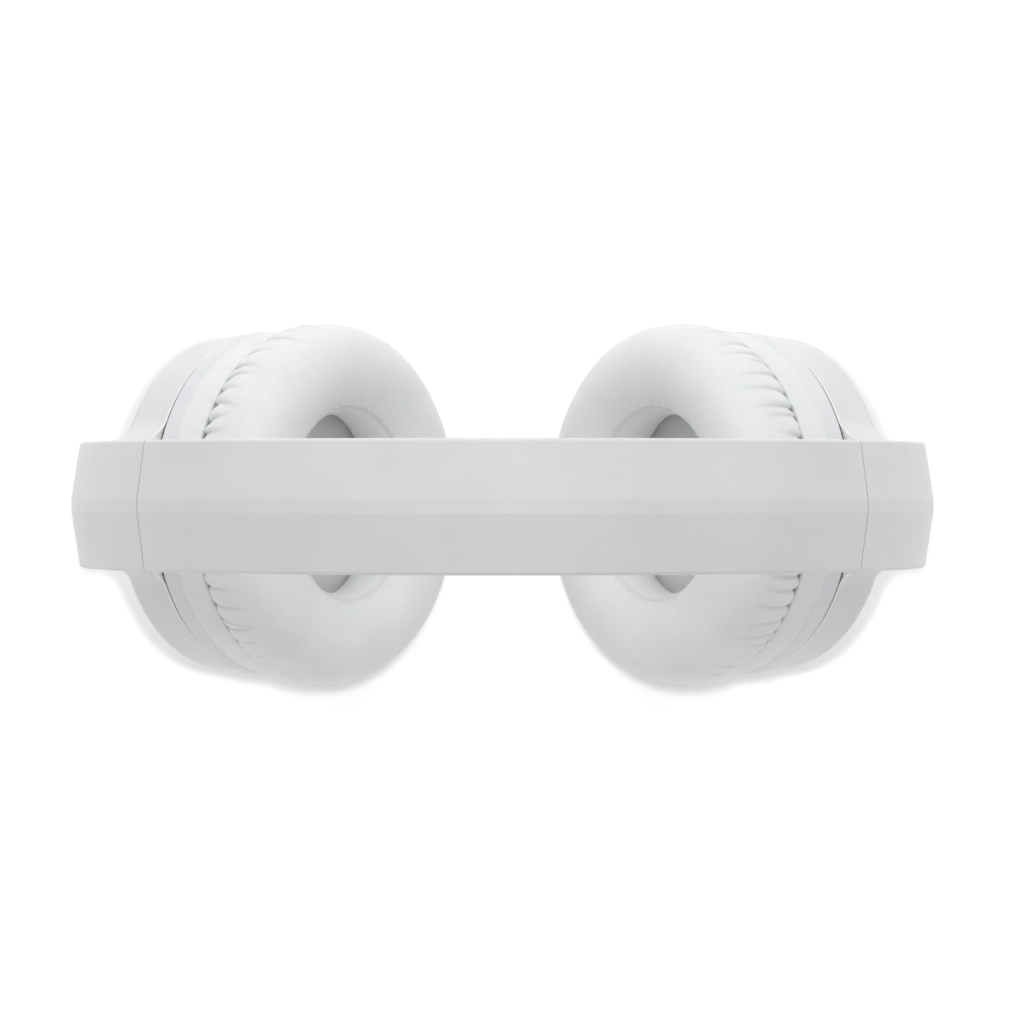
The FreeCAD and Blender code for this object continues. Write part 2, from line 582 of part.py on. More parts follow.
def round_cover(body):
    """Round the outer edge of the neck's web and both sides of the neck."""
    def outer_edge(edge, middle):
        local = middle - CUP_CENTRE
        up = local.dot(CUP_UP)
        out = -local.dot(CUP_EAR)
        from_middle = math.hypot(up, middle.y)
        at_side = up > CUP_RADIUS / 2 and abs(middle.y) > BAND_HALF_Y - 0.01 and out > 3.0
        flat_top = abs(middle.z - NECK_TOP_Z) < 0.01
        return at_side and not flat_top and from_middle > WEB_RADIUS - 0.1
    return round_edges(body, EDGE_ROUND, outer_edge)


def make_cup_housing():
    """Housing ring between the cover and the cushion, with a spigot into the cover."""
    ring = housing_ring()
    for angle in SCREW_ANGLES:
        place = at_angle(SCREW_CIRCLE, angle)
        ring = ring.cut(disc(BOSS_RADIUS + FIT_GAP, -5, SEAM_GAP, place))
        ring = ring.cut(disc(SCREW_RADIUS + 0.15, -5, 10, place))
    return to_cup(ring)


def housing_ring():
    """The revolved body of the housing ring."""
    front = HOUSING_FRONT
    back = front - HOUSING_LIP
    outside = [(SEAM_GAP, CUP_RADIUS - HOUSING_BEVEL), (SEAM_GAP + HOUSING_BEVEL, CUP_RADIUS),
               (front - HOUSING_BEVEL, CUP_RADIUS), (front, CUP_RADIUS - HOUSING_BEVEL)]
    lip = [(front, CUP_RADIUS - 6.5), (back, CUP_RADIUS - 6.5)]
    spigot = [(back, CAVITY_RADIUS - 2.2), (SPIGOT_END, CAVITY_RADIUS - 2.2),
              (SPIGOT_END, CAVITY_RADIUS - FIT_GAP), (SEAM_GAP, CAVITY_RADIUS - FIT_GAP)]
    return round_part(outside + lip + spigot)


def make_baffle():
    """Baffle plate that carries the driver, with a ring of tuning holes."""
    plate = disc(CAVITY_RADIUS - 2.5, DRIVER_FRONT + 0.1, BAFFLE_FRONT)
    plate = plate.cut(disc(DRIVER_RADIUS - 1.6, -10, 10))
    holes = (DRIVER_RADIUS + CAVITY_RADIUS - 2.5) / 2.0
    for step in range(12):
        plate = plate.cut(disc(1.2, -10, 10, at_angle(holes, step * 30.0)))
    for angle in SCREW_ANGLES:
        plate = plate.cut(disc(SCREW_RADIUS + 0.3, -10, 10, at_angle(SCREW_CIRCLE, angle)))
    return to_cup(plate)


def make_driver_frame():
    """Basket of the driver."""
    front = DRIVER_FRONT
    back = front - DRIVER_DEPTH
    outside = [(front, DRIVER_RADIUS), (front - 1.2, DRIVER_RADIUS), (back, MAGNET_RADIUS + 3.0)]
    inside = [(back, MAGNET_RADIUS - 1.0), (back + 1.0, MAGNET_RADIUS - 1.0), (back + 1.0, MAGNET_RADIUS + 2.4),
              (front - 0.6, DRIVER_RADIUS - 1.6), (front, DRIVER_RADIUS - 1.6)]
    return to_cup(round_part(outside + inside))


def make_driver_magnet():
    """Magnet on the back of the driver's basket."""
    magnet = disc(MAGNET_RADIUS, MAGNET_BACK, MAGNET_BACK + MAGNET_THICK)
    return to_cup(magnet.cut(disc(1.2, MAGNET_BACK - 1, MAGNET_BACK + MAGNET_THICK + 1)))


def make_driver_diaphragm():
    """Thin domed diaphragm in the mouth of the basket."""
    back = DRIVER_FRONT + 0.1
    rim = DRIVER_RADIUS - 2.0
    outline = [(back + 0.3, 0.0), (back + 0.1, rim / 3), (back - 1.0, rim * 0.47), (back + 0.2, rim * 0.78),
               (back - 0.1, rim)]
    lower = [(a - 0.25, r) for a, r in reversed(outline)]
    return to_cup(round_part(outline + lower))


def make_cushion_ring():
    """Hard ring that clips the cushion to the housing."""
    ring = round_part([(CUSHION_BACK, HOLE_RADIUS + 7.0), (CUSHION_BACK + 1.6, HOLE_RADIUS + 7.0),
                       (CUSHION_BACK + 1.6, CUP_RADIUS - 1.8), (CUSHION_BACK, CUP_RADIUS - 1.8)])
    for angle in SCREW_ANGLES:
        ring = ring.cut(disc(SCREW_HEAD + 0.4, 0, 20, at_angle(SCREW_CIRCLE, angle)))
    return to_cup(ring)


def make_speaker_cloth():
    """Acoustic cloth over the hole in the cushion ring."""
    low = CUSHION_BACK + 1.7
    return to_cup(disc(HOLE_RADIUS + 9.0, low, low + 0.4))


def make_ear_cushion():
    """Soft ring cushion: straight skirt, gathered seam and full roll."""
    back = CUSHION_BACK + 2.6
    roll_r = (CUSHION_RADIUS + HOLE_RADIUS) / 2.0
    start = V(CUP_RADIUS - 0.4, 0, CUSHION_BACK)
    crease = V(CUP_RADIUS - 0.9, 0, CREASE_A)
    inner_foot = V(HOLE_RADIUS + 6.6, 0, back)
    roll = Part.BSplineCurve()
    roll.interpolate(Points=[crease, V(CUSHION_RADIUS - 0.7, 0, CREASE_A + 2.2),
                             V(CUSHION_RADIUS, 0, CUSHION_MIDDLE - 0.5),
                             V(CUSHION_RADIUS - 2.2, 0, CUSHION_MIDDLE + 6.2), V(roll_r, 0, CUSHION_FRONT),
                             V(HOLE_RADIUS + 2.0, 0, CUSHION_MIDDLE + 5.6), V(HOLE_RADIUS, 0, CUSHION_MIDDLE),
                             V(HOLE_RADIUS + 1.8, 0, CREASE_A + 2.2), inner_foot])
    skirt_in = CUP_RADIUS - 1.5
    edges = [Part.makeLine(start, crease), roll.toShape(), Part.makeLine(inner_foot, V(skirt_in, 0, back)),
             Part.makeLine(V(skirt_in, 0, back), V(skirt_in, 0, CUSHION_BACK)),
             Part.makeLine(V(skirt_in, 0, CUSHION_BACK), start)]
    face = Part.Face(Part.Wire(edges))
    return to_cup(face.revolve(V(0, 0, 0), V(0, 0, 1), 360))


def make_cup_screws():
    """Four screws that hold the housing ring to the cover."""
    screws = []
    for angle in SCREW_ANGLES:
        place = at_angle(SCREW_CIRCLE, angle)
        head = disc(SCREW_HEAD, HOUSING_FRONT + 0.05, HOUSING_FRONT + 1.2, place)
        shank = disc(SCREW_RADIUS, -6.0, HOUSING_FRONT + 0.1, place)
        cross = disc(0.6, HOUSING_FRONT + 0.7, HOUSING_FRONT + 2.0, place)
        screws.append(to_cup(head.fuse(shank).cut(cross)))
    return Part.makeCompound(screws)


# ---- what only one cup has -------------------------------------------------------------------------------
def make_battery():
    """Flat pouch cell behind the driver."""
    front = MAGNET_BACK - FIT_GAP
    cell = box((-CELL_FOOT, -CELL_HALF_Y, front - CELL_THICK), (CELL_LONG - CELL_FOOT, CELL_HALF_Y, front))
    return to_cup(round_edges(cell, CELL_THICK / 3, lambda edge, middle: edge.Length > CELL_THICK + 0.1))


def make_main_board():
    """Circuit board with its main chips."""
    front = MAGNET_BACK - FIT_GAP
    back = front - BOARD_THICK
    board = box((-BOARD_FOOT, -BOARD_HALF_Y, back), (BOARD_LONG - BOARD_FOOT, BOARD_HALF_Y, front))
    chips = []
    for up, across, share in ((0.0, 0.0, 1.0), (-1.3, 1.0, 0.7), (-1.3, -1.0, 0.5)):
        x, y, half = up * CHIP, across * CHIP, share * CHIP / 2
        chips.append(box((x - half, y - half, back - CHIP_THICK), (x + half, y + half, back)))
    return to_cup(board.fuse(chips).removeSplitter())


def usb_outline(half_wide, half_high, low, high):
    """A stadium-shaped bar along the cup's x axis, centred on the rim's middle plane."""
    straight = half_wide - half_high
    bar = box((low, -straight, RIM_A - half_high), (high, straight, RIM_A + half_high))
    for side in (-straight, straight):
        bar = bar.fuse(Part.makeCylinder(half_high, high - low, V(low, side, RIM_A), V(1, 0, 0)))
    return bar.removeSplitter()


def make_usb_socket():
    """Charging socket: a stadium-shaped steel shell with a contact tongue."""
    mouth = -RIM_RADIUS + 0.6
    shell = usb_outline(USB_HALF_WIDE, USB_HALF_HIGH, mouth, mouth + USB_DEPTH)
    back = mouth + USB_DEPTH - 1.0
    hollow = usb_outline(USB_HALF_WIDE - USB_WALL, USB_HALF_HIGH - USB_WALL, mouth - 1, back)
    tongue = box((mouth + 1.2, -3.3, RIM_A - 0.35), (mouth + USB_DEPTH - 0.5, 3.3, RIM_A + 0.35))
    return to_cup(shell.cut(hollow).fuse(tongue))


def button_bar(half_long, half_wide, low, high):
    """A pill-shaped bar that runs outwards from the cup's middle along its x axis."""
    straight = half_long - half_wide
    bar = box((low, -straight, RIM_A - half_wide), (high, straight, RIM_A + half_wide))
    for side in (-straight, straight):
        bar = bar.fuse(Part.makeCylinder(half_wide, high - low, V(low, side, RIM_A), V(1, 0, 0)))
    return bar.removeSplitter()


def make_button(angle):
    """Rim button with a retaining flange behind the wall."""
    top = RIM_RADIUS + BUTTON_PROUD
    cap = button_bar(BUTTON_HALF_LONG, BUTTON_HALF_WIDE, CAVITY_RADIUS - 2.0, top)
    cap = round_edges(cap, 0.4, lambda edge, middle: abs(middle.x - top) < 0.01)
    flange = button_bar(BUTTON_HALF_LONG + 0.5, BUTTON_HALF_WIDE + 0.5, CAVITY_RADIUS - 2.0,
                        CAVITY_RADIUS - 1.2)
    return to_cup(turned(cap.fuse(flange).removeSplitter(), angle))


def make_status_light():
    """Small light window in the rim."""
    lens = Part.makeCylinder(SMALL_HOLE - 0.08, 3.0, V(RIM_RADIUS - 3.05, 0, RIM_A), V(1, 0, 0))
    return to_cup(turned(lens, LIGHT_ANGLE))


def make_microphone():
    """Microphone capsule behind its hole in the rim."""
    capsule = Part.makeCylinder(1.8, 1.3, V(CAVITY_RADIUS - 1.5, 0, RIM_A), V(1, 0, 0))
    return to_cup(turned(capsule, MIC_ANGLE))


def cut_rim(cover):
    """Openings in the right cup's rim for its buttons, socket, light and microphone."""
    far = CUP_RADIUS + 4.0
    long, wide = BUTTON_HALF_LONG + BUTTON_GAP, BUTTON_HALF_WIDE + BUTTON_GAP
    for angle in BUTTON_ANGLES.values():
        hole = button_bar(long, wide, CAVITY_RADIUS - 3.0, far)
        cover = cover.cut(to_cup(turned(hole, angle)))
    socket = usb_outline(USB_HALF_WIDE + 0.1, USB_HALF_HIGH + 0.1, -far, -CAVITY_RADIUS + 3.0)
    cover = cover.cut(to_cup(socket))
    light = Part.makeCylinder(SMALL_HOLE, 12.0, V(CAVITY_RADIUS - 6.0, 0, RIM_A), V(1, 0, 0))
    cover = cover.cut(to_cup(turned(light, LIGHT_ANGLE)))
    sound = Part.makeCylinder(0.6, 12.0, V(CAVITY_RADIUS - 6.0, 0, RIM_A), V(1, 0, 0))
    return cover.cut(to_cup(turned(sound, MIC_ANGLE)))


# ---- the whole part --------------------------------------------------------------------------------------
PAIRS = {
    "side_housing": make_side_housing, "side_cover": make_side_cover, "spring_screws": make_spring_screws,
    "cover_screws": make_cover_screws, "detent_spring": make_detent_spring, "slider_strip": make_slider_strip,
    "arm": make_arm, "swivel_pin": make_swivel_pin, "swivel_bush": make_swivel_bush,
    "swivel_clip": make_swivel_clip, "cup_cover": make_cup_cover, "cup_housing": make_cup_housing,
    "baffle": make_baffle, "driver_frame": make_driver_frame, "driver_magnet": make_driver_magnet,
    "driver_diaphragm": make_driver_diaphragm, "cushion_ring": make_cushion_ring,
    "speaker_cloth": make_speaker_cloth, "ear_cushion": make_ear_cushion, "cup_screws": make_cup_screws,
}
SINGLES = {
    "band_shell": make_band_shell, "band_liner": make_band_liner, "band_cushion": make_band_cushion,
    "band_spring": make_band_spring, "link_cable": make_link_cable, "main_board": make_main_board,
    "usb_socket": make_usb_socket, "status_light": make_status_light, "microphone": make_microphone,
}


def make_all():
    """Every node, with the widest level of the band at z = 0."""
    nodes = {name: make() for name, make in SINGLES.items()}
    for name, make in PAIRS.items():
        shape = make()
        nodes[name + "_right"] = cut_rim(shape) if name == "cup_cover" else shape
        nodes[name + "_left"] = mirrored(shape)
    nodes["battery"] = mirrored(make_battery())
    for name, angle in BUTTON_ANGLES.items():
        nodes[name] = make_button(angle)
    return nodes


def main():
    """Build every node, stand the part on z = 0 and write the STEP files."""
    os.makedirs("parts", exist_ok=True)
    nodes = make_all()
    lift = -nodes["cup_cover_left"].optimalBoundingBox().ZMin
    print("lift", round(lift, 3), "cup centre", CUP_CENTRE, "pin x", SWIVEL_X)
    for name, shape in sorted(nodes.items()):
        shape.translate(V(0, 0, lift))
        shape.exportStep("parts/" + name + ".step")


main()
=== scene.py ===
"""Looks of a pair of white over-ear headphones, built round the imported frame.

The script dresses every rigid node with a procedural material, models the ear cushions, the headband pad and the
speaker screens, and sets up a plain studio with a camera straight above. The ear cushions' form is modelled: the
cloth simulation swells only the headband pad by an amount that shows.
"""

import json
import logging
import math
from collections.abc import Sequence
from dataclasses import dataclass, field
from enum import Enum

import bmesh
import bpy
import numpy as np
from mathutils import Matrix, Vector

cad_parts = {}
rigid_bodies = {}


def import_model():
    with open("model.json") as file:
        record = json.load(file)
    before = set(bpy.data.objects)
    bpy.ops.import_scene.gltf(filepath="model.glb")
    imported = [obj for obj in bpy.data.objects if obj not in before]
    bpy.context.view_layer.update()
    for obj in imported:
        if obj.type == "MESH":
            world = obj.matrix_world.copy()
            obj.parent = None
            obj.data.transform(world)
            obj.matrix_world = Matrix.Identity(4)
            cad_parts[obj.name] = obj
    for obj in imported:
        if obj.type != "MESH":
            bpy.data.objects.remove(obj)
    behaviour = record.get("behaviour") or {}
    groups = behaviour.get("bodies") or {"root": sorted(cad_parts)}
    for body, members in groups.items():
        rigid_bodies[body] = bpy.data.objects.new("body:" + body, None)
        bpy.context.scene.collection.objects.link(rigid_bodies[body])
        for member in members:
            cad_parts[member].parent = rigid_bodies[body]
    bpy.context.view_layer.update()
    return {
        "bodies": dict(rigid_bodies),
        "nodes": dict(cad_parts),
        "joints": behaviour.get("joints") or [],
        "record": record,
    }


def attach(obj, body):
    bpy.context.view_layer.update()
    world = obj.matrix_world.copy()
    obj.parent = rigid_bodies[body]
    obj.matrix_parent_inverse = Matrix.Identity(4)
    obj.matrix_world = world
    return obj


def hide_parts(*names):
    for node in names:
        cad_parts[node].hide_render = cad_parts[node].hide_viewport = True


LOG = logging.getLogger("headphones")
MM = 0.001
PIN_DROP = 15.0  # the swivel pins are this far below the headband's centre, in millimetres


# ---- small helpers ---------------------------------------------------------------------------------------


def linear(code: str) -> tuple[float, ...]:
    """Turn an sRGB hex colour into linear RGBA.

    Args:
        code: Six hex digits, such as "E6E7E6".

    Returns:
        A tuple of four floats, alpha 1.
    """
    channels = []
    for start in (0, 2, 4):
        value = int(code[start:start + 2], 16) / 255.0
        channels.append(value / 12.92 if value <= 0.04045 else ((value + 0.055) / 1.055) ** 2.4)
    return (*channels, 1.0)


def new_object(name: str, data: bpy.types.ID) -> bpy.types.Object:
    """A new object of some data, linked to the scene."""
    obj = bpy.data.objects.new(name, data)
    bpy.context.scene.collection.objects.link(obj)
    return obj


def mesh_object(name: str, verts: Sequence, faces: Sequence) -> bpy.types.Object:
    """Make a mesh object at the origin from vertices in metres.

    Args:
        name: Name of the new object.
        verts: Array of shape (n, 3).
        faces: Sequence of vertex index tuples.

    Returns:
        The linked object, with outward normals.
    """
    mesh = bpy.data.meshes.new(name)
    mesh.from_pydata([tuple(v) for v in verts], [], [tuple(f) for f in faces])
    mesh.validate()
    work = bmesh.new()
    work.from_mesh(mesh)
    bmesh.ops.recalc_face_normals(work, faces=work.faces)
    work.to_mesh(mesh)
    work.free()
    return new_object(name, mesh)


def smooth(obj: bpy.types.Object, angle: float = 40.0) -> None:
    """Shade an object smooth.

    Args:
        obj: A mesh object.
        angle: Edges sharper than this many degrees stay sharp.
    """
    for polygon in obj.data.polygons:
        polygon.use_smooth = True
    obj.data.set_sharp_from_angle(angle=math.radians(angle))


def read_points(mesh: bpy.types.Mesh) -> np.ndarray:
    """The mesh's vertices as an (n, 3) array."""
    points = np.zeros(len(mesh.vertices) * 3)
    mesh.vertices.foreach_get("co", points)
    return points.reshape(-1, 3)


def write_points(mesh: bpy.types.Mesh, points: np.ndarray) -> None:
    """Write an (n, 3) array back to the mesh's vertices."""
    mesh.vertices.foreach_set("co", np.asarray(points, dtype=np.float64).ravel())
    mesh.update()


def read_normals(mesh: bpy.types.Mesh) -> np.ndarray:
    """The mesh's vertex normals as an (n, 3) array."""
    normals = np.zeros(len(mesh.vertices) * 3, dtype=np.float32)
    mesh.vertex_normals.foreach_get("vector", normals)
    return normals.reshape(-1, 3).astype(float)


def bake(obj: bpy.types.Object) -> bpy.types.Object:
    """Apply every modifier on an object and leave the result as its plain mesh.

    Args:
        obj: The object to bake.

    Returns:
        The same object.
    """
    graph = bpy.context.evaluated_depsgraph_get()
    graph.update()
    mesh = bpy.data.meshes.new_from_object(obj.evaluated_get(graph))
    old = obj.data
    obj.modifiers.clear()
    obj.data = mesh
    mesh.name = obj.name
    bpy.data.meshes.remove(old)
    return obj


def divide(obj: bpy.types.Object, levels: int) -> None:
    """Subdivide an object's mesh.

    Args:
        obj: The object.
        levels: How many times.
    """
    modifier = obj.modifiers.new("divide", "SUBSURF")
    modifier.levels = modifier.render_levels = levels
    bake(obj)


def wear(obj: bpy.types.Object, material: bpy.types.Material) -> None:
    """Give an object one material."""
    obj.data.materials.clear()
    obj.data.materials.append(material)


def finish_cover(obj: bpy.types.Object, material: bpy.types.Material) -> None:
    """Shade an upholstered piece smooth all over, cover it and log it.

    Args:
        obj: The piece.
        material: Its cover.
    """
    smooth(obj, 180.0)
    wear(obj, material)
    LOG.info("%s: %d faces", obj.name, len(obj.data.polygons))


def smooth_line(knots: Sequence, count: int) -> np.ndarray:
    """Sample the natural cubic spline through some points.

    Args:
        knots: Points of two coordinates.
        count: Number of samples, evenly spread over the chord lengths.

    Returns:
        An array of shape (count, 2).
    """
    at = np.asarray(knots, dtype=float)
    span = np.linalg.norm(np.diff(at, axis=0), axis=1)
    start = np.concatenate(([0.0], np.cumsum(span)))
    last = len(at) - 1
    matrix = np.eye(last + 1)
    right = np.zeros_like(at)
    for i in range(1, last):
        matrix[i, i - 1:i + 2] = (span[i - 1], 2.0 * (span[i - 1] + span[i]), span[i])
        right[i] = 6.0 * ((at[i + 1] - at[i]) / span[i] - (at[i] - at[i - 1]) / span[i - 1])
    bend = np.linalg.solve(matrix, right)
    place = np.linspace(0.0, start[-1], count)
    k = np.clip(np.searchsorted(start, place, side="right") - 1, 0, last - 1)
    width = span[k][:, None]
    ahead = (start[k + 1] - place)[:, None]
    behind = (place - start[k])[:, None]
    curve = (bend[k] * ahead ** 3 + bend[k + 1] * behind ** 3) / (6.0 * width)
    curve += (at[k] / width - bend[k] * width / 6.0) * ahead
    return curve + (at[k + 1] / width - bend[k + 1] * width / 6.0) * behind


def along_line(line: np.ndarray) -> np.ndarray:
    """Distance from the start of a polyline to each of its points."""
    return np.concatenate(([0.0], np.cumsum(np.linalg.norm(np.diff(line, axis=0), axis=1))))


def settle(line: np.ndarray, obj: bpy.types.Object, lift_mm: float) -> np.ndarray:
    """Move a line of points onto an object's surface.

    Args:
        line: World points near the surface, in metres.
        obj: The object they lie on.
        lift_mm: How far above the surface they end up.

    Returns:
        The moved points.
    """
    moved = []
    for point in line:
        _, place, normal, _ = obj.closest_point_on_mesh(Vector(point))
        moved.append(place + normal * lift_mm * MM)
    return np.array([tuple(point) for point in moved])


def store(mesh: bpy.types.Mesh, name: str, values: np.ndarray) -> None:
    """Keep one number for each vertex as a named mesh attribute."""
    layer = mesh.attributes.new(name, "FLOAT", "POINT")
    layer.data.foreach_set("value", np.asarray(values, dtype=np.float32))


def ring_faces(columns: int, rows: int, closed_rows: bool) -> list[tuple[int, ...]]:
    """Quads of a grid that is closed along its columns and, if asked, along its rows.

    Args:
        columns: Number of sections round the long way.
        rows: Number of points in each section.
        closed_rows: Whether each section is a closed loop.

    Returns:
        A list of index quads.
    """
    faces = []
    for i in range(columns):
        j = (i + 1) % columns
        for k in range(rows if closed_rows else rows - 1):
            m = (k + 1) % rows
            faces.append((i * rows + k, j * rows + k, j * rows + m, i * rows + m))
    return faces


# ---- geometry that the CAD part and the looks share --------------------------------------------------------


class CupFrame:
    """The frame of one ear cup: a runs to the ear, phi turns from the top of the cup towards the front."""

    MIDDLE_X = 53.44755
    BELOW_CENTRE = 50.72191
    TILT = math.radians(35.0)

    def __init__(self, side: int, lift: float) -> None:
        """Place the frame.

        Args:
            side: 1 for the right cup, -1 for the left.
            lift: Height of the headband's centre, in millimetres.
        """
        self.side = side
        self.centre = np.array((side * self.MIDDLE_X, 0.0, lift - self.BELOW_CENTRE)) * MM
        self.up = np.array((side * math.sin(self.TILT), 0.0, math.cos(self.TILT)))
        self.ear = np.array((-side * math.cos(self.TILT), 0.0, math.sin(self.TILT)))

    @property
    def label(self) -> str:
        """The word that ends the names of this side's nodes."""
        return "right" if self.side > 0 else "left"

    def points(self, a: np.ndarray, r: np.ndarray, phi: np.ndarray) -> np.ndarray:
        """Turn cup coordinates into world points.

        Args:
            a: Millimetres towards the ear.
            r: Millimetres from the cup's axis.
            phi: Radians from the top of the cup.

        Returns:
            World points in metres.
        """
        a, r, phi = np.broadcast_arrays(a, r, phi)
        height = (r * np.cos(phi))[..., None] * self.up
        across = (r * np.sin(phi))[..., None] * np.array((0.0, 1.0, 0.0))
        return self.centre + (height + across + a[..., None] * self.ear) * MM

    def turned(self, rows: Sequence, columns: int) -> np.ndarray:
        """World points of a section turned round the cup's axis, column by column.

        Args:
            rows: The section's points, whose first two numbers are a and r.
            columns: How many times the section is set down.

        Returns:
            An array of shape (columns * rows, 3).
        """
        phi = np.arange(columns) * 2.0 * math.pi / columns
        a = np.array([row[0] for row in rows])
        r = np.array([row[1] for row in rows])
        return self.points(a[None, :], r[None, :], phi[:, None]).reshape(-1, 3)

    def local(self, points: np.ndarray) -> tuple[np.ndarray, np.ndarray, np.ndarray]:
        """Turn world points into cup coordinates.

        Args:
            points: World points in metres.

        Returns:
            Their a, r and phi.
        """
        offset = (points - self.centre) / MM
        a = offset @ self.ear
        u = offset @ self.up
        y = offset[..., 1]
        return a, np.hypot(u, y), np.arctan2(y, u)


class BandLine:
    """The ridge line of the headband, by distance along it from the crown, in millimetres."""

    CROWN_RADIUS = 102.0
    SIDE_RADIUS = 78.0
    SIDE_X = 12.0
    CROWN_LENGTH = CROWN_RADIUS * math.radians(30.0)

    def __init__(self, lift: float) -> None:
        """Place the line.

        Args:
            lift: Height of the headband's centre, in millimetres.
        """
        drop = (self.CROWN_RADIUS - self.SIDE_RADIUS) * math.cos(math.radians(30.0))
        self.crown = (0.0, lift - drop, self.CROWN_RADIUS)
        self.side = (self.SIDE_X, lift, self.SIDE_RADIUS)

    def elevation_distance(self, elevation: float) -> float:
        """Distance from the crown to an elevation, in degrees, on the side arc."""
        return self.CROWN_LENGTH + self.SIDE_RADIUS * math.radians(60.0 - elevation)

    def frame(self, distance: float) -> tuple[tuple[float, float], tuple[float, float]]:
        """The ridge point and the outward direction, both in x and z.

        Args:
            distance: Millimetres from the crown, positive to the right.

        Returns:
            Two tuples, (x, z) in millimetres and (x, z) of length 1.
        """
        reach = abs(distance)
        sign = 1.0 if distance >= 0.0 else -1.0
        if reach <= self.CROWN_LENGTH:
            turn = math.radians(90.0) - reach / self.CROWN_RADIUS
            centre_x, centre_z, radius = self.crown
        else:
            turn = math.radians(60.0) - (reach - self.CROWN_LENGTH) / self.SIDE_RADIUS
            centre_x, centre_z, radius = self.side
        out = (sign * math.cos(turn), math.sin(turn))
        return (sign * centre_x + out[0] * radius, centre_z + out[1] * radius), out

    def point(self, distance: float, y: float, depth: float) -> np.ndarray:
        """The world point, in metres, at a distance from the crown, a y and a depth below the ridge."""
        (x, z), out = self.frame(distance)
        return np.array((x - out[0] * depth, y, z - out[1] * depth)) * MM


# ---- materials -------------------------------------------------------------------------------------------


